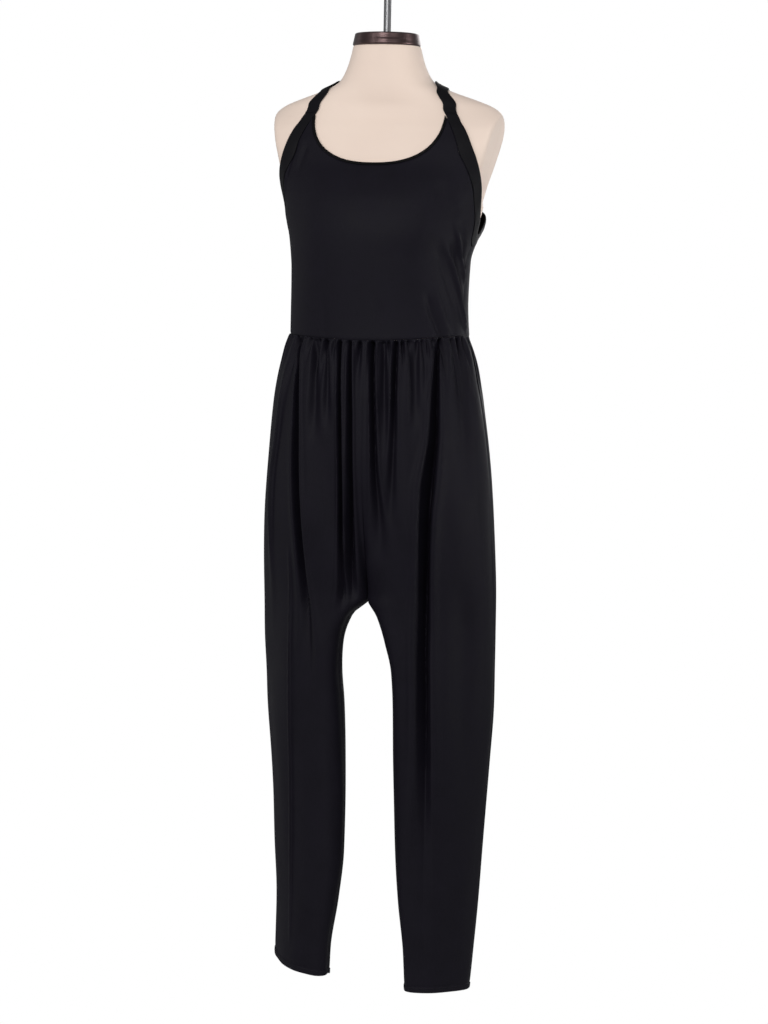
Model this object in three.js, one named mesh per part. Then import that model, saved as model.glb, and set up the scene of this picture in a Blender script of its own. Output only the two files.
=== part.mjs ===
// A sleeveless jersey jumpsuit with a scoop neck, a racer back, a gathered waist and tapered drop-crotch legs.
// It is worn by a limbless dress form that hangs from the rod in its neck cap. The front faces -Y, +Z is up, and the
// origin is the rod's top end. Left and right are the wearer's, so left is +X. All sizes are in millimetres.
import * as THREE from "three";

// Driving dimensions.
const CLOTH = 1.7; // wall of the cut cloth
const BAND_WALL = 2.4; // folded armhole bands and straps
const BINDING_WALL = 2.8; // rolled neck bindings
const SEAM_GAP = 0.3; // between pieces that are sewn together
const BAND_GAP = 0.55; // between an armhole band and its panel, whose seam is curved
const CLEAR = 1.6; // between the dress form and the cloth that lies on it
const BAND_WIDTH = 21;
const BAND_END_WIDTH = 19; // where a band meets its strap
const BAND_PULL = 4; // how much narrower a band is beside the bust, where it is stretched
const BINDING_WIDTH = 4;
const STRAP_LIFT = 0.6; // added under the straps, where the shoulders curve most
const ROD_RADIUS = 6;
const ROD_LENGTH = 86.5; // of rod above the neck cap
const CAP_RADIUS = 54.5; // at the lower rim
const CAP_TOP_RADIUS = 51.5;
const CAP_HEIGHT = 20;
const WAIST_Z = -566; // waist seam at the side seams
const WAIST_SAG_FRONT = 10; // how much lower the waist seam is at centre front
const WAIST_SAG_BACK = 4;
const CROTCH_Z = -990; // where the legs part
const HEM_Z = -1613; // lowest hem
const HEM_DEPTH = 9; // turned-up hem allowance
const HEM_EXTRA = 0.8; // thickness that the turned-up hem adds
const BUST_Z = -362; // below this the bodice hangs free of the form

const clamp = (x, low, high) => Math.min(high, Math.max(low, x));
const mix = (a, b, t) => a + (b - a) * t;
const bell = (x) => Math.exp(-x * x);
const smooth = (from, to, x) => {
  const t = clamp((x - from) / (to - from), 0, 1);
  return t * t * (3 - 2 * t);
};
const steps = (count, from = 0, to = 1) =>
  Array.from({ length: count + 1 }, (_, i) => mix(from, to, i / count));

// Sections of the dress form, from the neck down: half width at the side, depths in front of and behind the middle,
// the middle's place along Y, and the squareness power (1 is an ellipse, less is squarer).
const FORM = [
  { z: -106.8, side: 54, front: 52, back: 54, mid: 2, power: 1 },
  { z: -130, side: 60, front: 54, back: 57, mid: 3, power: 1 },
  { z: -150, side: 68, front: 55, back: 62, mid: 4, power: 1 },
  { z: -165, side: 79, front: 57, back: 68, mid: 6, power: 1.02 },
  { z: -178, side: 108, front: 58, back: 72, mid: 8, power: 1.15 },
  { z: -190, side: 143, front: 60, back: 74, mid: 12, power: 1.24 },
  { z: -201, side: 171, front: 62, back: 76, mid: 17, power: 1.18 },
  { z: -212, side: 186, front: 66, back: 78, mid: 21, power: 1.06 },
  { z: -225, side: 199, front: 72, back: 81, mid: 24, power: 0.94 },
  { z: -240, side: 205, front: 79, back: 82, mid: 25, power: 0.86 },
  { z: -262, side: 201, front: 84, back: 84, mid: 22, power: 0.81 },
  { z: -291, side: 188, front: 87, back: 87, mid: 16, power: 0.84 },
  { z: -325, side: 170, front: 97, back: 90, mid: 12, power: 0.85 },
  { z: -355, side: 160, front: 104, back: 91, mid: 10, power: 0.86 },
  { z: -385, side: 151.5, front: 104, back: 89, mid: 9, power: 0.87 },
  { z: -420, side: 138, front: 98, back: 84, mid: 7, power: 0.9 },
  { z: -470, side: 124, front: 90, back: 76, mid: 4, power: 0.93 },
  { z: -520, side: 120, front: 84, back: 70, mid: 2, power: 0.95 },
  { z: -560, side: 118, front: 83, back: 70, mid: 2, power: 0.97 },
  { z: -610, side: 128, front: 88, back: 80, mid: 3, power: 0.97 },
  { z: -680, side: 147, front: 94, back: 92, mid: 4, power: 0.96 },
  { z: -740, side: 156, front: 94, back: 97, mid: 4, power: 0.96 },
  { z: -790, side: 154, front: 86, back: 91, mid: 2, power: 0.96 },
  { z: -825, side: 145, front: 78, back: 79, mid: 1, power: 0.96 },
  { z: -847, side: 128, front: 67, back: 65, mid: 0, power: 0.96 },
  { z: -858, side: 100, front: 52, back: 50, mid: 0, power: 0.96 },
  { z: -862, side: 55, front: 30, back: 28, mid: 0, power: 0.96 },
];

// Sections of the bodice where it hangs free, down to the waist seam. sway is how far the front leans to the left.
const BODICE = [
  { z: -385, side: 155.8, front: 112, back: 95, mid: 9, power: 0.86, sway: 0 },
  { z: -414, side: 147.6, front: 114, back: 96, mid: 8, power: 0.86, sway: -2.6 },
  { z: -446, side: 140.4, front: 113, back: 96, mid: 7, power: 0.87, sway: -7.1 },
  { z: -510, side: 138.3, front: 110, back: 96, mid: 5, power: 0.88, sway: -7.4 },
  { z: -580, side: 141.9, front: 106, back: 96, mid: 3, power: 0.9, sway: -3.9 },
];

// Sections of the trousers' seat, from the waist seam to the crotch.
const SEAT = [
  { z: -564, side: 142.4, front: 104, back: 94.5, mid: 3, power: 0.9, sway: -4.1 },
  { z: -578, side: 146.9, front: 107, back: 97, mid: 3, power: 0.9, sway: -3.9 },
  { z: -606, side: 156.3, front: 113, back: 105, mid: 3, power: 0.92, sway: -3.9 },
  { z: -638, side: 162.9, front: 117, back: 112, mid: 3, power: 0.93, sway: -4.3 },
  { z: -670, side: 167.5, front: 119, back: 118, mid: 3, power: 0.93, sway: -4 },
  { z: -750, side: 173.9, front: 119, back: 124, mid: 3, power: 0.93, sway: -2.5 },
  { z: -830, side: 177.8, front: 115, back: 121, mid: 3, power: 0.93, sway: -1.6 },
  { z: -910, side: 179, front: 108, back: 113, mid: 2, power: 0.94, sway: -1.6 },
  { z: -1060, side: 185, front: 100, back: 100, mid: 0, power: 0.95, sway: 0 },
];

// Sections of the legs: how far each leg's inner and outer edges are from the centre plane, how far its inner edge is
// forward and its outer edge backward of the middle, and its depth.
const LEG = [
  { z: -840, leftIn: 0, leftOut: 187, rightIn: 0, rightOut: 191, forward: 30, backward: 20, depth: 106 },
  { z: -930, leftIn: 0, leftOut: 187, rightIn: 0, rightOut: 191, forward: 42, backward: 30, depth: 82 },
  { z: -990, leftIn: 0.4, leftOut: 187, rightIn: 0.4, rightOut: 191, forward: 49, backward: 37, depth: 68 },
  { z: -1014, leftIn: 18.5, leftOut: 185, rightIn: 32, rightOut: 191.5, forward: 52.5, backward: 41, depth: 63 },
  { z: -1054, leftIn: 32, leftOut: 184.7, rightIn: 43, rightOut: 192.5, forward: 55, backward: 45, depth: 58 },
  { z: -1102, leftIn: 41.5, leftOut: 184, rightIn: 46, rightOut: 187.7, forward: 48, backward: 44, depth: 57 },
  { z: -1150, leftIn: 42.8, leftOut: 184.7, rightIn: 43, rightOut: 185.6, forward: 41, backward: 41, depth: 57 },
  { z: -1230, leftIn: 43.8, leftOut: 180.6, rightIn: 40, rightOut: 177.5, forward: 38, backward: 38, depth: 54 },
  { z: -1310, leftIn: 46.7, leftOut: 176.7, rightIn: 38.7, rightOut: 171.2, forward: 36, backward: 36, depth: 50 },
  { z: -1390, leftIn: 50.2, leftOut: 172.4, rightIn: 39.7, rightOut: 167.8, forward: 34, backward: 34, depth: 46 },
  { z: -1470, leftIn: 56.5, leftOut: 168.2, rightIn: 48, rightOut: 161.8, forward: 32, backward: 32, depth: 43 },
  { z: -1550, leftIn: 65, leftOut: 162.4, rightIn: 61, rightOut: 161.5, forward: 28, backward: 28, depth: 38 },
  { z: -1620, leftIn: 67, leftOut: 157, rightIn: 64, rightOut: 160, forward: 23, backward: 23, depth: 34 },
];

// How much higher than the lowest hem each leg's hem is, at its inner edge and at its outer edge.
const HEM_RISE = { left: { inner: 0, outer: 9 }, right: { inner: 22, outer: 51 } };

// Long folds of the trousers that start at the waist. start and end are the fold's place across the panel, from the
// centre (0) to the side seam (1), at the waist and at its lower end. A depth below zero is a ridge.
const LONG_FOLDS = {
  front_left: [
    { start: 0.1, end: 0.12, low: -850, depth: 8, width: 0.035 },
    { start: 0.23, end: 0.22, low: -770, depth: 8, width: 0.035 },
    { start: 0.58, end: 0.43, low: -1330, depth: 13, width: 0.06 },
    { start: 0.8, end: 0.78, low: -800, depth: 6, width: 0.045 },
  ],
  front_right: [
    { start: 0.04, end: 0.08, low: -760, depth: 6, width: 0.03 },
    { start: 0.17, end: 0.22, low: -985, depth: 13, width: 0.05 },
    { start: 0.4, end: 0.36, low: -740, depth: 6, width: 0.04 },
    { start: 0.67, end: 0.5, low: -1060, depth: 12, width: 0.055 },
  ],
  back_left: [
    { start: 0.14, end: 0.16, low: -900, depth: 10, width: 0.045 },
    { start: 0.36, end: 0.3, low: -780, depth: 7, width: 0.04 },
    { start: 0.62, end: 0.48, low: -1250, depth: 12, width: 0.06 },
  ],
  back_right: [
    { start: 0.1, end: 0.14, low: -840, depth: 9, width: 0.04 },
    { start: 0.3, end: 0.26, low: -960, depth: 10, width: 0.05 },
    { start: 0.66, end: 0.52, low: -1160, depth: 12, width: 0.055 },
  ],
};
const GATHERS = 12; // gathers sewn into the waist of each trouser panel
const GATHER_DEPTH = 4;
const GATHER_FALL = 62; // how far below the waist an average gather has faded

// Soft folds of the bodice: from one place to another, each a distance round from centre front and a height.
// side is +1 on the wearer's left and -1 on the right, and a height below zero is a trough.
const BODICE_FOLDS = [
  { side: 1, fromRound: 122, fromZ: -404, toRound: 172, toZ: -556, width: 7, height: 3.2 },
  { side: 1, fromRound: 140, fromZ: -410, toRound: 186, toZ: -548, width: 9, height: -3.4 },
  { side: 1, fromRound: 96, fromZ: -490, toRound: 112, toZ: -566, width: 10, height: -2.6 },
  { side: -1, fromRound: 118, fromZ: -440, toRound: 150, toZ: -560, width: 12, height: -2.2 },
];

// The armhole's finished edge, from the front strap end, under the arm, to the back strap end. around is 0 at
// centre front, 1 at the side seam and 2 at centre back.
const ARMHOLE = [
  { around: 0.58, z: -216 },
  { around: 0.571, z: -230 },
  { around: 0.598, z: -248 },
  { around: 0.639, z: -267 },
  { around: 0.7, z: -286 },
  { around: 0.76, z: -305 },
  { around: 0.825, z: -324 },
  { around: 0.88, z: -343 },
  { around: 0.925, z: -363 },
  { around: 0.962, z: -383 },
  { around: 1.005, z: -399 },
  { around: 1.055, z: -403 },
  { around: 1.12, z: -390 },
  { around: 1.23, z: -371 },
  { around: 1.45, z: -350 },
  { around: 1.64, z: -334 },
  { around: 1.735, z: -310 },
  { around: 1.79, z: -285 },
  { around: 1.812, z: -258 },
];
// The front and back necklines: each half an ellipse, squarer than a true one, seen from the front.
const NECK = { halfWidth: 105.5, topZ: -216, depth: 79.5, power: 0.85 };
const BACK_NECK = { halfWidth: 27, topZ: -258, depth: 13, power: 0.9 };

// The two edges of a strap, over the shoulder from the front armhole band to the back one.
const STRAP_INNER = [
  { around: 0.515, z: -205 },
  { around: 0.635, z: -184 },
  { around: 0.807, z: -172 },
  { around: 1.0, z: -162.3 },
  { around: 1.22, z: -164.8 },
  { around: 1.45, z: -178 },
  { around: 1.62, z: -198 },
  { around: 1.76, z: -222 },
  { around: 1.85, z: -243 },
];
const STRAP_OUTER = [
  { around: 0.619, z: -205 },
  { around: 0.765, z: -184.5 },
  { around: 0.89, z: -177.2 },
  { around: 1.0, z: -174.5 },
  { around: 1.17, z: -175.5 },
  { around: 1.35, z: -185 },
  { around: 1.51, z: -201 },
  { around: 1.66, z: -222 },
  { around: 1.76, z: -241 },
];

// A smooth curve through one column of a table that never overshoots its rows (a monotone cubic).
function columnOf(rows, name) {
  const at = rows.map((row) => -row.z);
  const value = rows.map((row) => row[name]);
  const slope = at.slice(1).map((x, i) => (value[i + 1] - value[i]) / (x - at[i]));
  const tangent = value.map((_, i) => {
    const before = slope[Math.max(i - 1, 0)];
    const after = slope[Math.min(i, slope.length - 1)];
    return before * after <= 0 ? 0 : (2 * before * after) / (before + after);
  });
  return (z) => {
    const x = clamp(-z, at[0], at[at.length - 1]);
    let i = 0;
    while (i < at.length - 2 && x > at[i + 1]) i += 1;
    const width = at[i + 1] - at[i];
    const t = (x - at[i]) / width;
    return (
      value[i] * (1 + 2 * t) * (1 - t) ** 2 +
      tangent[i] * width * t * (1 - t) ** 2 +
      value[i + 1] * t * t * (3 - 2 * t) +
      tangent[i + 1] * width * t * t * (t - 1)
    );
  };
}

// The chest: one soft swelling on each side. Cloth bridges between them and hangs from them to the waist.
const CHEST = { height: 13, place: 80, spread: 42, above: 46, below: 44 };
function chest(x, z, isCloth) {
  const off = Math.abs(x) - CHEST.place;
  const across = isCloth && off < 0 ? 1 : bell(off / CHEST.spread);
  const low = isCloth ? 1 - smooth(BUST_Z, WAIST_Z, z) : bell((z - BUST_Z) / CHEST.below);
  return CHEST.height * across * (z > BUST_Z ? bell((z - BUST_Z) / CHEST.above) : low);
}

// The flat plates where the arms would start: the form's side is cut back to this distance, with a soft edge.
const PLATE = { topZ: -235, topX: 181, slope: 0.24, endZ: -352, edge: 2.5 };
function cutByPlate(x, z) {
  const freed = 40 * smooth(PLATE.endZ, PLATE.endZ - 22, z);
  const plate = PLATE.topX + (z - PLATE.topZ) * PLATE.slope + freed;
  return -PLATE.edge * Math.log(Math.exp(-x / PLATE.edge) + Math.exp(-plate / PLATE.edge));
}

// A family of horizontal rings. ring(z) gives place(around), measured by arc length within each quarter, and the
// lengths of the front and back quarters. A superellipse: x = side * sin(a)^power, y = mid -+ depth * cos(a)^power.
const QUARTER_SAMPLES = 90;
function ringsOf(rows, { isCloth = false, hasPlates = false } = {}) {
  const columns = Object.fromEntries(
    ["side", "front", "back", "mid", "power"].map((name) => [name, columnOf(rows, name)]),
  );
  const known = new Map();
  const quarter = (z, isFront) => {
    const [side, mid, power] = [columns.side(z), columns.mid(z), columns.power(z)];
    const depth = isFront ? -columns.front(z) : columns.back(z);
    const points = steps(QUARTER_SAMPLES, 0, Math.PI / 2).map((a) => {
      const x = side * Math.sin(a) ** power;
      const y = mid + depth * Math.max(Math.cos(a), 0) ** power;
      return [hasPlates ? cutByPlate(x, z) : x, isFront ? y - chest(x, z, isCloth) * Math.cos(a) : y];
    });
    const along = [0];
    points.slice(1).forEach(([x, y], i) => {
      along.push(along[i] + Math.hypot(x - points[i][0], y - points[i][1]));
    });
    return { points, along, length: along[QUARTER_SAMPLES] };
  };
  return (z) => {
    const key = Math.round(z * 1000);
    if (!known.has(key)) known.set(key, { front: quarter(z, true), back: quarter(z, false) });
    const { front, back } = known.get(key);
    const place = (around) => {
      const turn = turnOf(around);
      const { points, along, length } = turn <= 1 ? front : back;
      const want = length * (turn <= 1 ? turn : 2 - turn);
      let i = 1;
      while (i < QUARTER_SAMPLES && along[i] < want) i += 1;
      const t = clamp((want - along[i - 1]) / (along[i] - along[i - 1]), 0, 1);
      const isLeft = Math.abs(around) > 2 ? around < 0 : around >= 0;
      const x = mix(points[i - 1][0], points[i][0], t);
      return [isLeft ? x : -x, mix(points[i - 1][1], points[i][1], t)];
    };
    return { place, front: front.length, back: back.length };
  };
}

// around runs from 0 at centre front over 1 at the left side to 2 at centre back, and on to 3 at the right side.
const turnOf = (around) => (Math.abs(around) > 2 ? 4 - Math.abs(around) : Math.abs(around));

const formRing = ringsOf(FORM, { hasPlates: true });
const eased = FORM.filter((row) => row.z > BUST_Z).map((row) => ({
  ...row,
  side: row.side + CLEAR,
  front: row.front + CLEAR,
  back: row.back + CLEAR,
}));
const bodiceRing = ringsOf([...eased, ...BODICE], { isCloth: true });
const seatRing = ringsOf(SEAT, { isCloth: true });

const waistZ = (around) => {
  const towardsCentre = Math.cos((Math.PI / 2) * around) ** 2;
  return WAIST_Z - towardsCentre * (Math.abs(around) < 1 ? WAIST_SAG_FRONT : WAIST_SAG_BACK);
};

// The bodice's inner surface: the ring with its sway, its soft folds and the flare of its back armhole.
const BACK_FLARE = { around: 1.34, z: -383, reach: 17 }; // the back armhole stands away from the body
function bodiceFold(around, z) {
  const round = Math.abs(around) * bodiceRing(z).front;
  return BODICE_FOLDS.reduce((sum, fold) => {
    if (Math.sign(around) !== fold.side || Math.abs(around) > 1) return sum;
    const [du, dz] = [fold.toRound - fold.fromRound, fold.toZ - fold.fromZ];
    const t = ((round - fold.fromRound) * du + (z - fold.fromZ) * dz) / (du * du + dz * dz);
    const off = ((round - fold.fromRound) * dz - (z - fold.fromZ) * du) / Math.hypot(du, dz);
    return sum + fold.height * bell(off / fold.width) * smooth(-0.1, 0.3, t) * (1 - smooth(0.85, 1.15, t));
  }, 0);
}
const bodiceSway = columnOf(BODICE, "sway");
function bodiceBase(around, z) {
  const [x, y] = bodiceRing(z).place(around);
  const isFront = 1 - 0.8 * smooth(0.95, 1.2, turnOf(around));
  return new THREE.Vector3(x + bodiceSway(z) * isFront, y, z);
}
// The outward normal of a surface given as a function of around and z, by differences.
function normalOf(surface, around, z) {
  const across = surface(around + 0.004, z).sub(surface(around - 0.004, z));
  const up = surface(around, z + 0.6).sub(surface(around, z - 0.6));
  return across.cross(up).normalize();
}
function bodice(around, z, out) {
  const turn = turnOf(around);
  const flare =
    BACK_FLARE.reach * bell((turn - BACK_FLARE.around) / 0.15) * bell((z - BACK_FLARE.z) / 27);
  const lift = turn > 1 ? flare : flare * bell((1 - turn) / 0.1);
  const normal = normalOf(bodiceBase, around, z);
  return bodiceBase(around, z).addScaledVector(normal, out + lift + bodiceFold(around, z));
}

// A path drawn on a surface as a smooth curve through its rows, as points with around and z.
function pathOf(rows, shares) {
  const curve = new THREE.SplineCurve(rows.map((row) => new THREE.Vector2(row.around * 200, row.z)));
  return shares.map((share) => curve.getPointAt(share)).map((p) => ({ around: p.x / 200, z: p.y }));
}
// The path moved sideways over the surface by a distance in millimetres, given at each share of the way. Positive is
// to the right of its run when seen from outside, which is the sum of the surface's own stretches along around and z.
function beside(path, shares, surface, distanceAt) {
  return path.map((here, i) => {
    const [before, after] = [path[Math.max(i - 1, 0)], path[Math.min(i + 1, path.length - 1)]];
    const perAround = surface(here.around + 0.01, here.z).distanceTo(surface(here.around, here.z)) / 0.01;
    const perZ = surface(here.around, here.z - 1).distanceTo(surface(here.around, here.z));
    const [run, rise] = [(after.around - before.around) * perAround, (after.z - before.z) * perZ];
    const distance = distanceAt(shares[i]) / Math.hypot(run, rise);
    return { around: here.around + (distance * rise) / perAround, z: here.z - (distance * run) / perZ };
  });
}
const mirrored = (path, side) => path.map((p) => ({ around: p.around * side, z: p.z }));
// A panel's whole edge, from a half that runs from the centre to the left side seam.
function wholeEdge(half, isFront) {
  const centre = isFront ? 0 : 2;
  const other = half.slice(1).map((p) => ({ around: 2 * centre - p.around, z: p.z }));
  return isFront ? [...other.reverse(), ...half] : [...half.reverse(), ...other];
}

// A closed wall between an outer and an inner surface. rows is a list of { at, across }, where across lists the
// places of that row's points; rows may have different numbers of points. pointAt(across, at, isOuter) gives points.
function wallGeometry(rows, pointAt) {
  const vertices = [];
  const add = (isOuter) =>
    rows.map((row) =>
      row.across.map((place) => {
        vertices.push(...pointAt(place, row.at, isOuter).toArray());
        return vertices.length / 3 - 1;
      }),
    );
  const [outer, inner] = [add(true), add(false)];
  const faces = [];
  // Joins two rows of points by always stepping along the one that lags behind.
  const zip = (ids, low, high, isOuter) => {
    let [i, j] = [0, 0];
    const [a, b] = [rows[low].across, rows[high].across];
    const share = (list, k) => (list[k] - list[0]) / (list[list.length - 1] - list[0]);
    while (i < a.length - 1 || j < b.length - 1) {
      const stepsLow = j === b.length - 1 || (i < a.length - 1 && share(a, i + 1) <= share(b, j + 1));
      const face = stepsLow
        ? [ids[low][i], ids[low][i + 1], ids[high][j]]
        : [ids[low][i], ids[high][j + 1], ids[high][j]];
      faces.push(isOuter ? face : face.reverse());
      if (stepsLow) i += 1;
      else j += 1;
    }
  };
  for (let row = 0; row < rows.length - 1; row += 1) {
    zip(outer, row, row + 1, true);
    zip(inner, row, row + 1, false);
  }
  const rim = (line) => {
    for (let k = 0; k < line.length - 1; k += 1) {
      const [[o1, i1], [o2, i2]] = [line[k], line[k + 1]];
      faces.push([o1, i1, o2], [i1, i2, o2]);
    }
  };
  const last = rows.length - 1;
  const edge = (row) => outer[row].map((id, k) => [id, inner[row][k]]);
  const side = (pick) => rows.map((_, row) => [pick(outer[row]), pick(inner[row])]);
  rim(edge(0));
  rim(edge(last).reverse());
  rim(side((line) => line[0]).reverse());
  rim(side((line) => line[line.length - 1]));
  return geometryOf(vertices, faces);
}
function geometryOf(vertices, faces) {
  const geometry = new THREE.BufferGeometry();
  geometry.setAttribute("position", new THREE.Float32BufferAttribute(vertices, 3));
  geometry.setIndex(faces.flat());
  geometry.computeVertexNormals();
  return geometry;
}

const jersey = () => new THREE.MeshStandardMaterial({ color: 0x1b1a1f, roughness: 0.75, metalness: 0 });
const coverCloth = () => new THREE.MeshStandardMaterial({ color: 0xe6d5c8, roughness: 0.8, metalness: 0 });
const bronze = () => new THREE.MeshStandardMaterial({ color: 0x3a2c2e, roughness: 0.35, metalness: 0.8 });
const steel = () => new THREE.MeshStandardMaterial({ color: 0xc4c6c8, roughness: 0.2, metalness: 1 });

const jumpsuit = new THREE.Group();
function addPiece(name, geometry, material) {
  const mesh = new THREE.Mesh(geometry, material);
  mesh.name = name;
  jumpsuit.add(mesh);
  return mesh;
}

// Two bodice panels. A panel's top edge runs from the centre along the neck seam to the corner at the strap, then
// down the armhole band's seam to the side seam. Its columns are straight lines from that edge to the waist seam.
const ARMHOLE_SHARES = [0, 0.016, ...steps(30).slice(1)]; // closer together where the shoulder curves most
const bandWidth = (share) =>
  mix(BAND_END_WIDTH, BAND_WIDTH, smooth(0, 0.16, share) * (1 - smooth(0.84, 1, share))) -
  BAND_PULL * bell((share - 0.24) / 0.09);
const armholeEdge = pathOf(ARMHOLE, ARMHOLE_SHARES);
const inwards = (distanceAt) => beside(armholeEdge, ARMHOLE_SHARES, bodiceBase, distanceAt);
const armholeSeam = inwards(bandWidth);
const panelSeam = inwards((share) => bandWidth(share) + BAND_GAP);
const sideStep = panelSeam.findIndex((p) => p.around > 1);
const seamOf = (isFront) => (isFront ? panelSeam.slice(0, sideStep) : panelSeam.slice(sideStep).reverse());

// Where a line of points, running down, is at a height.
function aroundAtHeight(line, z) {
  const i = clamp(line.findIndex((p) => p.z < z), 1, line.length - 1);
  const t = clamp((z - line[i - 1].z) / (line[i].z - line[i - 1].z), 0, 1);
  return mix(line[i - 1].around, line[i].around, t);
}
// How far around a ring is the point at a distance from the centre plane: found by halving.
function aroundAtWidth(x, z, isFront) {
  let [low, high] = isFront ? [0, 1] : [2, 1];
  steps(24).forEach(() => {
    const middle = (low + high) / 2;
    if (bodiceRing(z).place(middle)[0] < x) low = middle;
    else high = middle;
  });
  return (low + high) / 2;
}
// The neckline, moved down and outwards by inset, at an angle from the centre.
function neckPoint(isFront, inset, angle) {
  const { halfWidth, topZ, depth, power } = isFront ? NECK : BACK_NECK;
  const z = topZ - (depth + inset) * Math.max(Math.cos(angle), 0) ** power;
  return { around: aroundAtWidth((halfWidth + inset) * Math.sin(angle) ** power, z, isFront), z };
}
// The angle at which the neckline meets the armhole band.
function neckEnd(isFront, inset) {
  const seam = seamOf(isFront);
  const towardsBand = isFront ? 1 : -1;
  let [low, high] = [0, Math.PI / 2];
  steps(24).forEach(() => {
    const middle = (low + high) / 2;
    const { around, z } = neckPoint(isFront, inset, middle);
    if (towardsBand * (aroundAtHeight(seam, z) - around) > 0) low = middle;
    else high = middle;
  });
  return low;
}
const NECK_STEPS = { front: 12, back: 4 };
function neckEdge(isFront, inset) {
  const end = neckEnd(isFront, BINDING_WIDTH + SEAM_GAP);
  const angles = steps(isFront ? NECK_STEPS.front : NECK_STEPS.back, 0, end);
  const own = inset > BINDING_WIDTH ? end : neckEnd(isFront, inset) - 0.016;
  return angles.map((angle, i) => neckPoint(isFront, inset, i === angles.length - 1 ? own : angle));
}
const SIDE_GAP = 0.0015; // half of the side seam's gap, as a share of a quarter ring
const PANEL_ROWS = [0, 0.1, 0.3, 0.5, 0.66, 0.8, 0.9, 0.965, 1];
function bodicePanel(isFront) {
  const neck = neckEdge(isFront, BINDING_WIDTH + SEAM_GAP);
  const corner = neck[neck.length - 1];
  const seam = seamOf(isFront).filter((p) => p.z < corner.z - 0.5 && Math.abs(p.around - 1) > 0.006);
  const [last, next] = [panelSeam[sideStep - 1], panelSeam[sideStep]];
  const around = isFront ? 1 - SIDE_GAP : 1 + SIDE_GAP;
  const underarm = { around, z: mix(last.z, next.z, (around - last.around) / (next.around - last.around)) };
  const edge = wholeEdge([...neck, ...seam, underarm], isFront);
  const run = [0];
  edge.slice(1).forEach((p, i) => {
    run.push(run[i] + Math.hypot((p.around - edge[i].around) * 190, p.z - edge[i].z));
  });
  const [start, end] = [edge[0].around, edge[edge.length - 1].around];
  const waist = run.map((length) => mix(start, end, length / run[run.length - 1]));
  const rows = PANEL_ROWS.map((at) => ({ at, across: edge.map((_, k) => k) }));
  return wallGeometry(rows, (k, at, isOuter) => {
    const around = mix(waist[k], edge[k].around, at);
    const z = mix(waistZ(waist[k]) + SEAM_GAP, edge[k].z, at);
    return bodice(around, z, isOuter ? CLOTH : 0);
  });
}
addPiece("front_bodice", bodicePanel(true), jersey());
addPiece("back_bodice", bodicePanel(false), jersey());

// A strip of cloth between two paths on a surface, such as a band, a binding or a strap.
function strip(left, right, surface, inner, wall, across = 1) {
  const rows = left.map((from, i) => ({ at: i, across: steps(across) }));
  return wallGeometry(rows, (share, i, isOuter) => {
    const around = mix(left[i].around, right[i].around, share);
    const z = mix(left[i].z, right[i].z, share);
    return surface(around, z, isOuter ? inner + wall : inner);
  });
}
for (const [name, side] of [["left", 1], ["right", -1]]) {
  const [edge, seam] = [armholeEdge, armholeSeam].map((path) => mirrored(path, side));
  const [from, to] = side > 0 ? [edge, seam] : [seam, edge];
  addPiece("armhole_band_" + name, strip(from, to, bodice, 0, BAND_WALL, 2), jersey());

  const strapEdge = (rows, first, last) => {
    const raised = [first, last].map((p) => ({ around: p.around, z: p.z + SEAM_GAP }));
    return mirrored(pathOf([raised[0], ...rows, raised[1]], steps(20)), side);
  };
  const end = ARMHOLE_SHARES.length - 1;
  const inner = strapEdge(STRAP_INNER, armholeSeam[0], armholeSeam[end]);
  const outer = strapEdge(STRAP_OUTER, armholeEdge[0], armholeEdge[end]);
  const [first, second] = side > 0 ? [inner, outer] : [outer, inner];
  addPiece("strap_" + name, strip(first, second, bodice, STRAP_LIFT, BAND_WALL, 2), jersey());
}
function binding(isFront) {
  const [top, low] = [0, BINDING_WIDTH].map((inset) => wholeEdge(neckEdge(isFront, inset), isFront));
  return strip(top, low, bodice, -0.4, BINDING_WALL);
}
addPiece("front_neck_binding", binding(true), jersey());
addPiece("back_neck_binding", binding(false), jersey());

// One trouser panel. Above the crotch its sections are a quarter of the seat's ring. Below it they are half of the
// leg's oval, x = middle - width * cos(f), y = -forward * cos(f) -+ depth * sin(f). Between the two they are blended:
// late and quickly at the centre, so that the crotch is a rounded U, and slowly at the side.
const leg = Object.fromEntries(
  Object.keys(LEG[0]).filter((name) => name !== "z").map((name) => [name, columnOf(LEG, name)]),
);
const seatSway = columnOf(SEAT, "sway");
const CENTRE_BLEND = { front: -720, back: -780 };
const SIDE_BLEND = -640;
function blendAt(isFront, across, z) {
  const start = isFront ? CENTRE_BLEND.front : CENTRE_BLEND.back;
  const centre = clamp((start - z) / (start - CROTCH_Z), 0, 1) ** 2.4;
  return mix(centre, smooth(SIDE_BLEND, CROTCH_Z - 30, z), smooth(0, 0.55, across));
}
function trouserBase(isFront, isLeft, across, z) {
  const [seatX, seatY] = seatRing(z).place(isFront ? across : 2 - across);
  const f = Math.PI * across;
  const front = isFront ? -1 : 1;
  const [inner, outer] = isLeft ? [leg.leftIn(z), leg.leftOut(z)] : [leg.rightIn(z), leg.rightOut(z)];
  const legX = mix(inner, outer, 0.5 - 0.5 * Math.cos(f));
  const skew = f < Math.PI / 2 ? leg.forward(z) : leg.backward(z);
  const legY = -skew * Math.cos(f) + front * leg.depth(z) * Math.sin(f);
  const t = blendAt(isFront, across, z);
  const sway = (isLeft ? 1 : -1) * seatSway(z) * smooth(0, 0.4, across) * (1 - t);
  const x = Math.max(mix(seatX, legX, t) + sway, SEAM_GAP / 2);
  return new THREE.Vector3(isLeft ? x : -x, mix(seatY, legY, t), z);
}
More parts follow.
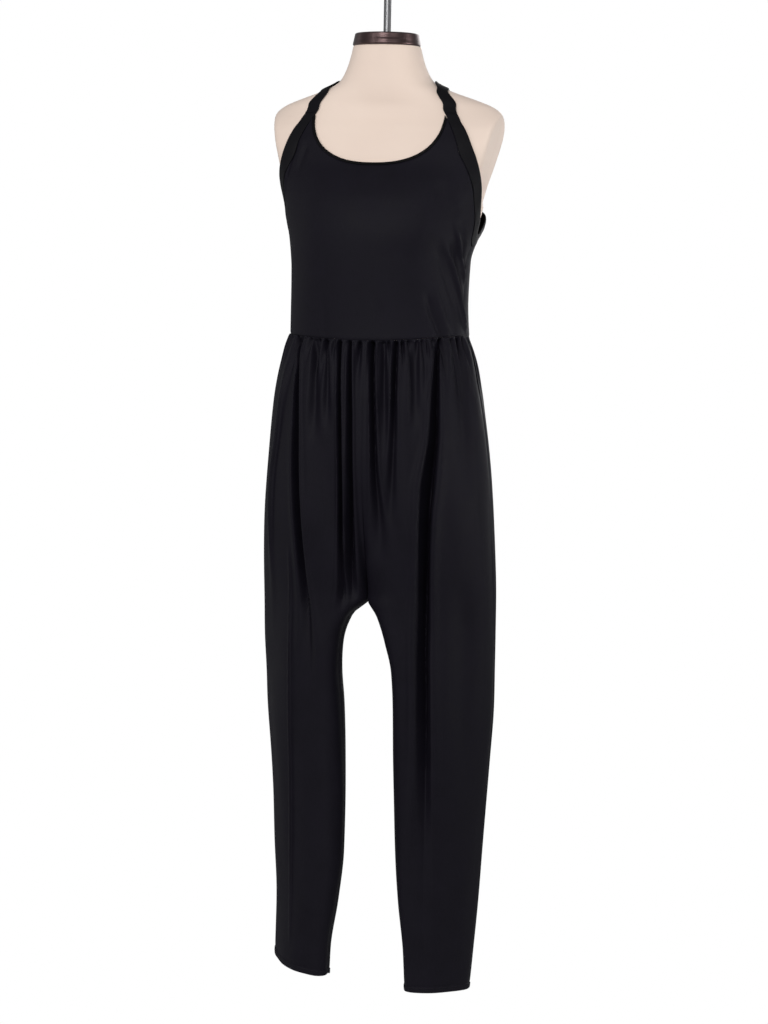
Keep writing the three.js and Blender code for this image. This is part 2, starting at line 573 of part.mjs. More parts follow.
// Gathers, each a narrow valley at the seam that widens, grows shallow and fades out further down. Their places,
// depths and lengths are uneven: a sine with a step that never repeats stands in for the sewer's hand.
const uneven = (k, step) => Math.sin(k * step + 0.7);
function gatherPlace(k, phase) {
  return clamp((k + 0.5 + 0.24 * uneven(k + phase, 2.4)) / GATHERS, 0, 1);
}
function gatherDepth(across, below, phase) {
  return steps(GATHERS - 1, 0, GATHERS - 1).reduce((sum, k) => {
    const fall = GATHER_FALL * (1 + 0.55 * uneven(k + phase, 1.7));
    const width = (0.24 + (0.5 * below) / (below + 90)) / GATHERS;
    const depth = GATHER_DEPTH * (1 + 0.3 * uneven(k + phase, 3.1));
    return sum + depth * bell((across - gatherPlace(k, phase)) / width) * bell(below / fall);
  }, 0);
}
function longFoldDepth(folds, across, z) {
  return folds.reduce((sum, fold) => {
    const t = clamp((WAIST_Z - z) / (WAIST_Z - fold.low), 0, 1.3);
    const place = mix(fold.start, fold.end, smooth(0, 1, t));
    const width = fold.width * (0.55 + 0.9 * Math.min(t, 1));
    const fade = smooth(0, 0.12, t) * (1 - smooth(0.72, 1.12, t));
    return sum + fold.depth * bell((across - place) / width) * fade;
  }, 0);
}
function trouserPoint(isFront, isLeft, across, z, out) {
  const name = (isFront ? "front_" : "back_") + (isLeft ? "left" : "right");
  const here = trouserBase(isFront, isLeft, across, z);
  const [before, after] = [clamp(across - 0.01, 0, 1), clamp(across + 0.01, 0, 1)];
  const along = trouserBase(isFront, isLeft, after, z).sub(trouserBase(isFront, isLeft, before, z));
  const turn = isFront === isLeft ? 1 : -1;
  const normal = new THREE.Vector3(along.y * turn, -along.x * turn, 0).normalize();
  const phase = { front_left: 0, front_right: 5, back_left: 11, back_right: 17 }[name];
  const atEdge = smooth(0, 0.05, across) * (1 - smooth(0.95, 1, across));
  const below = WAIST_Z - z;
  const valley = gatherDepth(across, Math.max(below, 0), phase) + longFoldDepth(LONG_FOLDS[name], across, z) * atEdge;
  const point = here.addScaledVector(normal, out - valley * smooth(-30, 8, below));
  const inseam = across < 0.5 ? SEAM_GAP / 2 : -1e3;
  point.x = isLeft ? Math.max(point.x, inseam) : Math.min(point.x, -inseam);
  return point;
}

// Heights of a panel's rows, as distances below the waist, and how many columns each has. The top rows follow the
// gathers, with four columns to each; lower rows need fewer.
const GATHER_ROWS = [0, 7, 24];
const SEAT_ROWS = [50, 88, 140, 200, 260, 320, 362, 392, 412, 422];
const LEG_ROWS = [432, 450, 478, 520, 590, 680, 780, 880, 970];
const SEAT_COLUMNS = 20;
const LEG_COLUMNS = 12;
function gatherColumns(phase) {
  const valleys = [0, ...steps(GATHERS - 1, 0, GATHERS - 1).map((k) => gatherPlace(k, phase)), 1];
  return valleys.slice(1).flatMap((to, k) => {
    const parts = k === 0 || k === GATHERS ? 2 : 4;
    return steps(parts, valleys[k], to).slice(0, -1);
  });
}
function trouserPanel(isFront, isLeft) {
  const legName = isLeft ? "left" : "right";
  const phase = { front_left: 0, front_right: 5, back_left: 11, back_right: 17 }[
    (isFront ? "front_" : "back_") + legName
  ];
  const [hemTop, hemEnd] = [WAIST_Z - HEM_Z - HEM_DEPTH, WAIST_Z - HEM_Z];
  // Columns reach the seams' middle, less half a gap, so front and back panels never touch.
  const trim = 0.0016;
  const trimmed = (list) => list.map((across) => mix(trim, 1 - trim, across));
  const rows = [
    ...GATHER_ROWS.map((at) => ({ at, across: trimmed([...gatherColumns(phase), 1]) })),
    ...SEAT_ROWS.map((at) => ({ at, across: trimmed(steps(SEAT_COLUMNS)) })),
    ...[...LEG_ROWS, hemTop - 20, hemTop, hemTop + 1, hemEnd].map((at) => ({
      at,
      across: trimmed(steps(LEG_COLUMNS)),
    })),
  ].reverse();
  const rise = HEM_RISE[legName];
  const heightAt = (across, at) => {
    const around = isFront ? across : 2 - across;
    const top = waistZ(around) - SEAM_GAP;
    const share = at / hemEnd;
    const hem = HEM_Z + mix(rise.inner, rise.outer, 0.5 - 0.5 * Math.cos(Math.PI * across));
    const nominal = WAIST_Z - at;
    return nominal + (top - WAIST_Z) * (1 - smooth(0, 0.25, share)) + (hem - HEM_Z) * smooth(0.55, 1, share);
  };
  const geometry = wallGeometry(isFront === isLeft ? rows : flipped(rows), (place, at, isOuter) => {
    const across = isFront === isLeft ? place : 1 - place;
    const isHem = at > hemTop + 0.5;
    return trouserPoint(isFront, isLeft, across, heightAt(across, at), isOuter ? CLOTH + (isHem ? HEM_EXTRA : 0) : 0);
  });
  return geometry;
}
const flipped = (rows) =>
  rows.map(({ at, across }) => ({ at, across: across.map((place) => 1 - place).reverse() }));
for (const isLeft of [true, false]) {
  for (const isFront of [true, false]) {
    const name = "leg_" + (isFront ? "front" : "back") + (isLeft ? "_left" : "_right");
    addPiece(name, trouserPanel(isFront, isLeft), jersey());
  }
}

// The dress form: its rings joined from the neck to its rounded lower end, closed by a fan at each end.
const FORM_COLUMNS = 32;
function formGeometry() {
  const heights = FORM.map((row) => row.z).flatMap((z, i, all) => {
    const next = all[i + 1];
    return next !== undefined && z - next > 60 ? [z, (z + next) / 2] : [z];
  });
  const vertices = [];
  const faces = [];
  heights.forEach((z) => {
    steps(FORM_COLUMNS - 1, 0, FORM_COLUMNS - 1).forEach((k) => {
      const [x, y] = formRing(z).place((4 * k) / FORM_COLUMNS > 2 ? (4 * k) / FORM_COLUMNS - 4 : (4 * k) / FORM_COLUMNS);
      vertices.push(x, y, z);
    });
  });
  const id = (ring, k) => ring * FORM_COLUMNS + (k % FORM_COLUMNS);
  for (let ring = 0; ring < heights.length - 1; ring += 1) {
    for (let k = 0; k < FORM_COLUMNS; k += 1) {
      faces.push([id(ring, k), id(ring + 1, k), id(ring + 1, k + 1)]);
      faces.push([id(ring, k), id(ring + 1, k + 1), id(ring, k + 1)]);
    }
  }
  const last = heights.length - 1;
  const [top, bottom] = [vertices.length / 3, vertices.length / 3 + 1];
  vertices.push(0, FORM[0].mid, heights[0], 0, FORM[FORM.length - 1].mid, heights[last]);
  for (let k = 0; k < FORM_COLUMNS; k += 1) {
    faces.push([top, id(0, k), id(0, k + 1)], [bottom, id(last, k + 1), id(last, k)]);
  }
  return geometryOf(vertices, faces);
}
addPiece("dress_form", formGeometry(), coverCloth());

// The neck cap, a turned disc with rounded rims that narrows upwards a little, and the rod that screws into it and carries everything.
function capGeometry() {
  const rim = 3;
  const top = -ROD_LENGTH;
  const bottom = top - CAP_HEIGHT;
  const corner = (cx, cz, from, to) =>
    steps(3, from, to).map((a) => new THREE.Vector2(cx + rim * Math.cos(a), cz + rim * Math.sin(a)));
  const profile = [
    new THREE.Vector2(0, bottom),
    ...corner(CAP_RADIUS - rim, bottom + rim, -Math.PI / 2, 0),
    ...corner(CAP_TOP_RADIUS - rim, top - rim, 0, Math.PI / 2),
    new THREE.Vector2(0, top),
  ];
  return new THREE.LatheGeometry(profile, 28).rotateX(Math.PI / 2);
}
function rodGeometry() {
  const chamfer = 1;
  const profile = [
    new THREE.Vector2(0, -ROD_LENGTH + SEAM_GAP),
    new THREE.Vector2(ROD_RADIUS, -ROD_LENGTH + SEAM_GAP),
    new THREE.Vector2(ROD_RADIUS, -chamfer),
    new THREE.Vector2(ROD_RADIUS - chamfer, 0),
    new THREE.Vector2(0, 0),
  ];
  return new THREE.LatheGeometry(profile, 16).rotateX(Math.PI / 2);
}
addPiece("neck_cap", capGeometry(), bronze());
addPiece("hanging_rod", rodGeometry(), steel());

export default jumpsuit;
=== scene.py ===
# %% [markdown]
# # A gathered jersey jumpsuit on a hanging dress form
# The real garment is made of flat pieces of black knit: two for the bodice, four for the trousers, and narrow bands
# for the armholes, straps and neckline. It hangs on a limbless form, which hangs from a rod. Every piece below is
# a surface worked out with numpy from two parameters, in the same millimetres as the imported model, so that it falls
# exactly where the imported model's solid is.

import bpy
import math
import numpy as np
from mathutils import Matrix, Vector


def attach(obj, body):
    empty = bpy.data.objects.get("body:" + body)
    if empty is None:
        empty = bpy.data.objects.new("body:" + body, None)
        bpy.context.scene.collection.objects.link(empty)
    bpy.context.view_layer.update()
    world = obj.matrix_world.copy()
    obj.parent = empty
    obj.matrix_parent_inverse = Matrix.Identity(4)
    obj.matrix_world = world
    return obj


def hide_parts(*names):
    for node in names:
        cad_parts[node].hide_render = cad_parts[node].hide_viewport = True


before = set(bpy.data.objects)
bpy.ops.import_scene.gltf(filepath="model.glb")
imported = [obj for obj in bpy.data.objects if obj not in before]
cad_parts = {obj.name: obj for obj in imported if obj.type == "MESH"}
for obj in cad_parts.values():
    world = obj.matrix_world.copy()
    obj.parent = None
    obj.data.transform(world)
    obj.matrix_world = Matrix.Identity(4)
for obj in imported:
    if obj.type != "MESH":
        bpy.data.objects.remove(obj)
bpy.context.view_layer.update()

# %% [markdown]
# ## Curves that the shapes share
# A few smooth building blocks do most of the work: a bell for a rounded ridge or valley, a soft step from one
# value to another, and a curve through a column of a table that never overshoots its rows.


# %% Building blocks
def mix(a, b, t):
    """The value that is the share t of the way from a to b."""
    return a + (b - a) * t


def bell(x):
    """A rounded bump: e to the power of minus x squared."""
    return np.exp(-np.square(x))


def smooth(start, end, x):
    """A soft step: 3 t squared minus 2 t cubed, where t goes from 0 at start to 1 at end."""
    t = np.clip((np.asarray(x, float) - start) / (end - start), 0, 1)
    return t * t * (3 - 2 * t)


def column(table, name):
    """A monotone cubic through one column of a table, as a function of z. Each row's slope is the harmonic mean of
    the slopes beside it, and 0 where they differ in sign, so the curve turns only at a row."""
    at, value = -table["z"], table[name]
    slope = np.diff(value) / np.diff(at)
    before, after = np.append(slope[0], slope), np.append(slope, slope[-1])
    total = np.where(before * after > 0, before + after, 1)
    tangent = np.where(before * after > 0, 2 * before * after / total, 0)

    def curve(z):
        x = np.clip(-np.asarray(z, float), at[0], at[-1])
        i = np.clip(np.searchsorted(at, x, side="right") - 1, 0, len(at) - 2)
        width = at[i + 1] - at[i]
        t = (x - at[i]) / width
        ends = value[i] * (1 + 2 * t) * (1 - t) ** 2 + value[i + 1] * t * t * (3 - 2 * t)
        return ends + width * (tangent[i] * t * (1 - t) ** 2 + tangent[i + 1] * t * t * (t - 1))

    return curve


def table(names, *rows):
    """A table of named columns, from rows of numbers."""
    return dict(zip(names.split(), np.array(rows, float).T))


# %% [markdown]
# ## Camera
# The photograph was taken from a little to the wearer's left of straight ahead, with a long lens, from the height
# of the waist seam. The camera leans by a degree, as a hand-held one does.

# %% Camera
CAMERA_TURN, CAMERA_FAR, CAMERA_Z = math.radians(14), 6.5, -0.62
PITCH, ROLL, AIM_RIGHT, LENS, SENSOR = math.radians(2.02), 0.0192, 0.0096, 142.8, 36
ahead = Vector((-math.sin(CAMERA_TURN), math.cos(CAMERA_TURN), 0))
rightwards = Vector((math.cos(CAMERA_TURN), math.sin(CAMERA_TURN), 0))
eye = Vector((0, 0, CAMERA_Z)) - ahead * CAMERA_FAR
aim = rightwards * AIM_RIGHT + Vector((0, 0, CAMERA_Z - CAMERA_FAR * math.tan(PITCH)))
look = (aim - eye).normalized()
level = look.cross(Vector((0, 0, 1))).normalized()
above = level.cross(look)
right = level * math.cos(ROLL) + above * math.sin(ROLL)
up = above * math.cos(ROLL) - level * math.sin(ROLL)
camera = bpy.data.objects.new("camera", bpy.data.cameras.new("camera"))
camera.data.sensor_fit = "VERTICAL"
camera.data.sensor_height, camera.data.lens = SENSOR, LENS
camera.matrix_world = Matrix.Translation(eye) @ Matrix((right, up, -look)).transposed().to_4x4()
bpy.context.scene.collection.objects.link(camera)
bpy.context.scene.camera = camera
print("camera", CAMERA_FAR, "m away, lens", LENS, "mm")

# %% [markdown]
# ## Writing a material as sums
# A material is a graph of nodes. Wrapping a socket in a small class lets the graph be written as arithmetic, so
# that `0.6 + 0.1 * grain` adds its own Math nodes.


# %% Sockets as numbers
class Wire:
    """One output socket. Arithmetic on it adds Math nodes and gives the new node's output as another Wire."""

    def __init__(self, finish, socket):
        self.finish, self.socket = finish, socket

    def math(self, operation, *values):
        return self.finish.node("ShaderNodeMath", {"operation": operation}, dict(enumerate(values)))

    def __add__(self, other):
        return self.math("ADD", self, other)

    def __mul__(self, other):
        return self.math("MULTIPLY", self, other)

    def __sub__(self, other):
        return self.math("SUBTRACT", self, other)

    def __pow__(self, power):
        return self.math("POWER", self, power)

    def __abs__(self):
        return self.math("ABSOLUTE", self)

    def sine(self):
        return self.math("SINE", self)

    __radd__, __rmul__ = __add__, __mul__


class Finish:
    """A material whose nodes are added by one method. Constant values go on the shader's own sockets."""

    def __init__(self, name, **constants):
        self.material = bpy.data.materials.new(name)
        self.material.use_nodes = True
        self.tree = self.material.node_tree
        self.shader = next(n for n in self.tree.nodes if n.type == "BSDF_PRINCIPLED")
        for socket, value in constants.items():
            self.shader.inputs[socket.replace("_", " ")].default_value = value

    def node(self, kind, settings=None, values=None, output=0):
        """Adds a node: its settings first, then its sockets' values or links. Returns one output as a Wire."""
        made = self.tree.nodes.new(kind)
        for name, value in (settings or {}).items():
            setattr(made, name, value)
        for name, value in (values or {}).items():
            if isinstance(value, Wire):
                self.tree.links.new(value.socket, made.inputs[name])
            else:
                made.inputs[name].default_value = value
        return Wire(self, made.outputs[output])

    def colours(self, share, first, second):
        """A colour that is the share of the way from the first to the second."""
        return self.node("ShaderNodeMix", {"data_type": "RGBA"}, {0: share, 6: (*first, 1), 7: (*second, 1)}, 2)

    def noise(self, where, scale, detail=2.0):
        """Cloudy values about 0.5, scale times to the metre."""
        return self.node("ShaderNodeTexNoise", None, {"Vector": where, "Scale": scale, "Detail": detail})

    def parts(self, where):
        """The three numbers of a vector."""
        split = self.node("ShaderNodeSeparateXYZ", None, {0: where})
        return [Wire(self, s) for s in split.socket.node.outputs]

    def place(self):
        """The point's own place on the object, in metres."""
        return self.node("ShaderNodeTexCoord", None, None, "Object")

    def cloth_place(self):
        """The point's place on the flat cloth, in metres, from the piece's own UV map."""
        return self.node("ShaderNodeUVMap", {"uv_map": "cloth"})

    def relief(self, height, distance, strength=1.0):
        """A bump of a height from 0 to 1, that many metres deep."""
        return self.node("ShaderNodeBump", None, {"Height": height, "Distance": distance, "Strength": strength})

    def stretched(self, where, factors):
        """The place times three factors, which draws a noise out along an axis."""
        return self.node("ShaderNodeVectorMath", {"operation": "MULTIPLY"}, {0: where, 1: factors})

    def feed(self, **links):
        """Links each wire to the shader's socket of that name. Returns the material."""
        for socket, wire in links.items():
            self.tree.links.new(wire.socket, self.shader.inputs[socket.replace("_", " ")])
        return self.material


# %% [markdown]
# ## Black jersey
# Jersey is knitted in fine upright ribs, called wales, a little under a millimetre apart, and each loop makes a
# small V. Seen from across a room it is a near-black with a faint violet cast and a soft sheen. The ribs follow the
# cloth's own UV map, so that they run with each panel as it was cut. The bands are the same cloth, turned a quarter
# and pulled tight, so they are a shade darker and less violet. The neck binding is the same cloth too, but its colour
# is painted darker still, as painted shade for the dark line along the rolled edge.


# %% Jersey
WALE, COURSE = 0.0009, 0.00075  # a rib's width and a loop's height, in metres


def jersey(name, dark, light, turned=False):
    """Ribs: the absolute sine of the distance across. Loops: a sine down each rib, delayed by the rib's own slope."""
    cloth = Finish(name, Specular_IOR_Level=0.09)
    where, flat = cloth.place(), cloth.cloth_place()
    across, along, _ = cloth.parts(flat)
    if turned:
        across, along = along, across
    rib = abs((across * (math.pi / WALE)).sine())
    loop = (along * (2 * math.pi / COURSE) + rib * 2.4).sine()
    cloudy = cloth.noise(where, 26, 4)
    slub = cloth.noise(cloth.stretched(flat, (900, 70, 1)), 1.0)
    shade = cloudy * 0.6 + slub * 0.4 + rib * 0.12 - 0.06
    height = rib * 0.62 + loop * 0.19 + slub * 0.3
    return cloth.feed(
        Base_Color=cloth.colours(shade, dark, light),
        Roughness=0.53 + 0.16 * cloudy,
        Normal=cloth.relief(height, 0.00012, 0.55),
    )


PANEL_CLOTH = jersey("black_jersey", (0.0029, 0.0024, 0.0045), (0.0074, 0.0062, 0.0109))
BAND_CLOTH = jersey("black_jersey_band", (0.0022, 0.0019, 0.0028), (0.0056, 0.0051, 0.0067), turned=True)
# The binding is the same jersey, with its colour painted darker still: painted shade for the dark line along the
# rolled neck edge.
BINDING_CLOTH_PAINTED_SHADE = jersey("black_jersey_binding_painted_shade", (0.0008, 0.0006, 0.0008), (0.0022, 0.0018, 0.0022), turned=True)
print("finishes:", PANEL_CLOTH.name, BAND_CLOTH.name)

# %% [markdown]
# ## Thread, cover, cap and rod
# The hems are sewn with a matt black thread. The form is covered with a smooth skin-toned stretch cloth, whose
# close weave only softens the light. The neck cap is turned from dark bronze-coloured metal, so its polish lies in
# fine rings, and the rod is polished steel with faint rings of wear.

# %% Thread and cover
thread = Finish("black_thread", Specular_IOR_Level=0.2)
twist = (thread.parts(thread.place())[2] * 9000).sine()
THREAD = thread.feed(
    Base_Color=thread.colours(thread.noise(thread.place(), 300), (0.006, 0.006, 0.008), (0.014, 0.013, 0.017)),
    Roughness=0.55 + 0.06 * twist,
)

cover = Finish("form_cover", Specular_IOR_Level=0.25, Sheen_Weight=0.12, Sheen_Roughness=0.5)
side_x, deep_y, tall_z = cover.parts(cover.place())
weave = ((side_x + deep_y) * 5200).sine() * (tall_z * 5200).sine()
patches = cover.noise(cover.place(), 7, 3)
COVER = cover.feed(
    Base_Color=cover.colours(patches, (0.70, 0.56, 0.475), (0.775, 0.645, 0.555)),
    Roughness=0.62 + 0.1 * patches,
    Normal=cover.relief(weave * 0.5 + cover.noise(cover.place(), 900) * 0.5, 0.00008, 0.4),
)

# %% Cap and rod
cap_metal = Finish("turned_bronze", Metallic=1.0)
turning = cap_metal.noise(cap_metal.stretched(cap_metal.place(), (3, 3, 900)), 1.0, 4)
tarnish = cap_metal.noise(cap_metal.place(), 40, 4)
CAP_METAL = cap_metal.feed(
    Base_Color=cap_metal.colours(tarnish, (0.060, 0.038, 0.039), (0.125, 0.086, 0.084)),
    Roughness=0.26 + 0.16 * turning,
    Normal=cap_metal.relief(turning, 0.0002, 0.5),
)

rod_metal = Finish("polished_steel", Metallic=1.0)
wear = rod_metal.noise(rod_metal.stretched(rod_metal.place(), (8, 8, 500)), 1.0, 3)
ROD_METAL = rod_metal.feed(
    Base_Color=rod_metal.colours(wear, (0.11, 0.11, 0.113), (0.19, 0.19, 0.194)),
    Roughness=0.27 + 0.14 * wear,
    Normal=rod_metal.relief(wear, 0.00005, 0.4),
)
print("finishes:", THREAD.name, COVER.name, CAP_METAL.name, ROD_METAL.name)

# %% [markdown]
# ## From arrays to pieces
# A cloth piece is a closed shell: an outer grid of points, an inner one, and a rim that joins their edges. A band
# is a tube: a closed outline carried along a path and capped at both ends. The faces are whole arrays of point
# numbers, and the signed volume tells whether they face outwards.


# %% Making a piece
def grid_faces(ids):
    """One four-cornered face between each point, the next one across, and the two below them."""
    return np.stack([ids[:-1, :-1], ids[:-1, 1:], ids[1:, 1:], ids[1:, :-1]], -1).reshape(-1, 4)


def outward(points, quads, triangles):
    """The same faces, turned round if the volume they enclose, the sum of corner determinants, is below zero."""
    all_triangles = np.concatenate([quads[:, :3], quads[:, [0, 2, 3]], triangles])
    a, b, c = points[all_triangles].transpose(1, 0, 2)
    if np.einsum("ij,ij->i", a, np.cross(b, c)).sum() < 0:
        quads, triangles = quads[:, ::-1], triangles[:, ::-1]
    return quads, triangles


def piece(name, points, quads, triangles, flat, material, slot, *nodes, sharp=50):
    """A finished object from points in millimetres, its faces, and each point's place on the flat cloth."""
    quads = np.asarray(quads, int).reshape(-1, 4)
    triangles = np.asarray(triangles, int).reshape(-1, 3)
    quads, triangles = outward(points, quads, triangles)
    mesh = bpy.data.meshes.new(name)
    mesh.from_pydata((points * 0.001).tolist(), [], quads.tolist() + triangles.tolist())
    uv = mesh.uv_layers.new(name="cloth")
    corners = np.empty(len(mesh.loops), int)
    mesh.loops.foreach_get("vertex_index", corners)
    uv.data.foreach_set("uv", (flat[corners] * 0.001).ravel())
    mesh.shade_smooth()
    mesh.set_sharp_from_angle(angle=math.radians(sharp))
    mesh.materials.append(material)
    made = bpy.data.objects.new(name, mesh)
    bpy.context.scene.collection.objects.link(made)
    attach(made, "root")
    if nodes:
        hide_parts(*nodes)
    print(name, len(quads) * 2 + len(triangles), "triangles")
    return made


def lengths(points, axis):
    """The distance run along a grid's rows or columns, from its first point."""
    step = np.linalg.norm(np.diff(points, axis=axis), axis=-1)
    start = np.zeros_like(np.take(step, [0], axis=axis))
    return np.concatenate([start, np.cumsum(step, axis=axis)], axis=axis)


def shell(name, outer, inner, material, slot, *nodes):
    """A closed cloth wall between two grids. The flat place is the distance run from the middle column."""
    rows, columns = outer.shape[:2]
    ids = np.arange(rows * columns).reshape(rows, columns)
    under = ids + rows * columns
    rims = [(under[0], ids[0]), (ids[-1], under[-1]), (ids[:, 0], under[:, 0]), (under[:, -1], ids[:, -1])]
    quads = [grid_faces(ids), grid_faces(under)[:, ::-1], *(grid_faces(np.stack(rim)) for rim in rims)]
    across = lengths(outer, 1)
    across = across - across[:, columns // 2, None]
    flat = np.stack([across, lengths(outer, 0)], -1).reshape(-1, 2)
    points = np.concatenate([outer.reshape(-1, 3), inner.reshape(-1, 3)])
    return piece(name, points, np.concatenate(quads), [], np.tile(flat, (2, 1)), material, slot, *nodes)


def tube(name, loops, material, slot, *nodes, sharp=50):
    """A closed outline at each station of a path, joined, with a fan of triangles at each end."""
    stations, count = loops.shape[:2]
    ids = np.arange(stations * count).reshape(stations, count)
    quads = grid_faces(np.concatenate([ids, ids[:, :1]], axis=1))
    first, last = stations * count, stations * count + 1
    fans = [
        np.stack([np.full(count, end), line, np.roll(line, turn)], -1)
        for end, line, turn in ((first, ids[0], -1), (last, ids[-1], 1))
    ]
    fans[0] = fans[0][:, ::-1]
    fans[1] = fans[1][:, ::-1]
    points = np.concatenate([loops.reshape(-1, 3), [loops[0].mean(0), loops[-1].mean(0)]])
    flat = np.stack([lengths(loops, 1), lengths(loops, 0)], -1).reshape(-1, 2)
    flat = np.concatenate([flat, flat[[0, -1]]])
    return piece(name, points, quads, np.concatenate(fans), flat, material, slot, *nodes, sharp=sharp)


# %% [markdown]
# ## Rings
# The body, the bodice and the seat of the trousers are all families of level rings. Each quarter of a ring is a
# superellipse, and a place on it is given by the share of the quarter's length. Looking the points up in a grid of
# heights and shares keeps this fast.

# %% Sizes and tables
CLOTH, BAND_WALL, BINDING_WALL, SEAM_GAP, BAND_GAP, CLEAR = 1.7, 2.4, 2.8, 0.1, 0.12, 1.6
WAIST_Z, CROTCH_Z, HEM_Z, BUST_Z = -566, -990, -1613, -362
ROD_LENGTH, ROD_RADIUS, CAP_RADIUS, CAP_TOP_RADIUS, CAP_HEIGHT, CAP_RIM = 86.5, 6, 54.5, 51.5, 20, 3

RING, RING_STEP, QUARTER_STEPS = "z side front back mid power", 2.0, 360
BUST_X, BUST_RISE = 80, 13
FORM = table(
    RING,
    (-106.8, 54, 52, 54, 2, 1),
    (-130, 60, 54, 57, 3, 1),
    (-150, 68, 55, 62, 4, 1),
    (-165, 79, 57, 68, 6, 1.02),
    (-178, 108, 58, 72, 8, 1.15),
    (-190, 143, 60, 74, 12, 1.24),
    (-201, 171, 62, 76, 17, 1.18),
    (-212, 186, 66, 78, 21, 1.06),
    (-225, 199, 72, 81, 24, 0.94),
    (-240, 205, 79, 82, 25, 0.86),
    (-262, 201, 84, 84, 22, 0.81),
    (-291, 188, 87, 87, 16, 0.84),
    (-325, 170, 97, 90, 12, 0.85),
    (-355, 160, 104, 91, 10, 0.86),
    (-385, 151.5, 104, 89, 9, 0.87),
    (-420, 138, 98, 84, 7, 0.9),
    (-470, 124, 90, 76, 4, 0.93),
    (-520, 120, 84, 70, 2, 0.95),
    (-560, 118, 83, 70, 2, 0.97),
    (-610, 128, 88, 80, 3, 0.97),
    (-680, 147, 94, 92, 4, 0.96),
    (-740, 156, 94, 97, 4, 0.96),
    (-790, 154, 86, 91, 2, 0.96),
    (-825, 145, 78, 79, 1, 0.96),
    (-847, 128, 67, 65, 0, 0.96),
    (-858, 100, 52, 50, 0, 0.96),
    (-862, 55, 30, 28, 0, 0.96),
)
BODICE = table(
    RING + " sway",
    (-385, 155.8, 112, 95, 9, 0.86, 0),
    (-414, 147.6, 114, 96, 8, 0.86, -2.6),
    (-446, 140.4, 113, 96, 7, 0.87, -7.1),
    (-510, 138.3, 110, 96, 5, 0.88, -7.4),
    (-580, 141.9, 106, 96, 3, 0.9, -3.9),
)
SEAT = table(
    RING + " sway",
    (-564, 142.4, 104, 94.5, 3, 0.9, -4.1),
    (-578, 146.9, 107, 97, 3, 0.9, -3.9),
    (-606, 156.3, 113, 105, 3, 0.92, -3.9),
    (-638, 162.9, 117, 112, 3, 0.93, -4.3),
    (-670, 167.5, 119, 118, 3, 0.93, -4),
    (-750, 173.9, 119, 124, 3, 0.93, -2.5),
    (-830, 177.8, 115, 121, 3, 0.93, -1.6),
    (-910, 179, 108, 113, 2, 0.94, -1.6),
    (-1060, 185, 100, 100, 0, 0.95, 0),
)


# %% Rings by share of a quarter
def chest(x, z, is_cloth):
    """One soft swelling on each side of the chest. Cloth bridges between them, and hangs from them."""
    off = np.abs(x) - BUST_X
    across = np.where(is_cloth & (off < 0), 1, bell(off / 42))
    low = 1 - smooth(BUST_Z, WAIST_Z, z) if is_cloth else bell((z - BUST_Z) / 44)
    return BUST_RISE * across * np.where(z > BUST_Z, bell((z - BUST_Z) / 46), low)


def cut_by_plate(x, z):
    """A soft minimum of x and the arm plate's distance, which leans with height and is free below the plate."""
    plate = 181 + (z + 235) * 0.24 + 40 * smooth(-352, -374, z)
    return -2.5 * np.log(np.exp(-x / 2.5) + np.exp(-plate / 2.5))


def turn_of(around):
    """0 at centre front, 1 at either side, 2 at centre back."""
    return np.where(np.abs(around) > 2, 4 - np.abs(around), np.abs(around))


def rings(rows, is_cloth=False, has_plates=False):
    """The surface (around, z): x = side sin(a) to the power, y = mid -+ depth cos(a) to the power, where the
    angle a is the one that lies at the wanted share of the quarter's length."""
    heights = np.arange(rows["z"][0], rows["z"][-1] - RING_STEP, -RING_STEP)
    side, front, back, mid, power = (column(rows, name)(heights)[:, None] for name in RING.split()[1:])
    angle, share = np.linspace(0, math.pi / 2, 181), np.linspace(0, 1, QUARTER_STEPS + 1)
    found = []
    for depth in (-front, back):
        x = side * np.sin(angle) ** power
        y = mid + depth * np.maximum(np.cos(angle), 0) ** power
        if depth is not back:
            y = y - chest(x, heights[:, None], is_cloth) * np.cos(angle)
        if has_plates:
            x = cut_by_plate(x, heights[:, None])
        along = lengths(np.stack([x, y], -1), 1)
        even = [
            (np.interp(share, run / run[-1], xs), np.interp(share, run / run[-1], ys))
            for run, xs, ys in zip(along, x, y)
        ]
        found.append(np.array(even).transpose(0, 2, 1))
    grid = np.array(found)

    def place(around, z):
        around, z = np.broadcast_arrays(np.asarray(around, float), np.asarray(z, float))
        turn = turn_of(around)
        row = np.clip((heights[0] - z) / RING_STEP, 0, len(heights) - 1.001)
        step = np.clip(np.where(turn <= 1, turn, 2 - turn) * QUARTER_STEPS, 0, QUARTER_STEPS - 0.001)
        i, j, which = row.astype(int), step.astype(int), (turn > 1).astype(int)
        s, t = (row - i)[..., None], (step - j)[..., None]
        upper = mix(grid[which, i, j], grid[which, i, j + 1], t)
        lower = mix(grid[which, i + 1, j], grid[which, i + 1, j + 1], t)
        x, y = np.moveaxis(mix(upper, lower, s), -1, 0)
        is_left = np.where(np.abs(around) > 2, around < 0, around >= 0)
        return np.where(is_left, x, -x), y

    front_length = np.array([lengths(g, 0)[-1] for g in grid[0]])
    place.front = lambda z: np.interp(-np.asarray(z, float), -heights, front_length)
    return place


form_ring = rings(FORM, has_plates=True)
upper = FORM["z"] > BUST_Z
BODICE_RINGS = {
    name: np.append(FORM[name][upper] + (CLEAR if name in ("side", "front", "back") else 0), BODICE[name])
    for name in RING.split()
}
bodice_ring = rings(BODICE_RINGS, is_cloth=True)
seat_ring = rings(SEAT, is_cloth=True)
print("hip quarter", round(float(seat_ring.front(-750)), 1), "mm")

# %% [markdown]
# ## The dress form
# The real form is a padded torso under a tight cover. Its surface is the family of rings itself, drawn finely from
# the neck to the rounded lower end, with the flat plates where arms would be. The cover's seams run down the
# sides, and a shallow groove marks them.


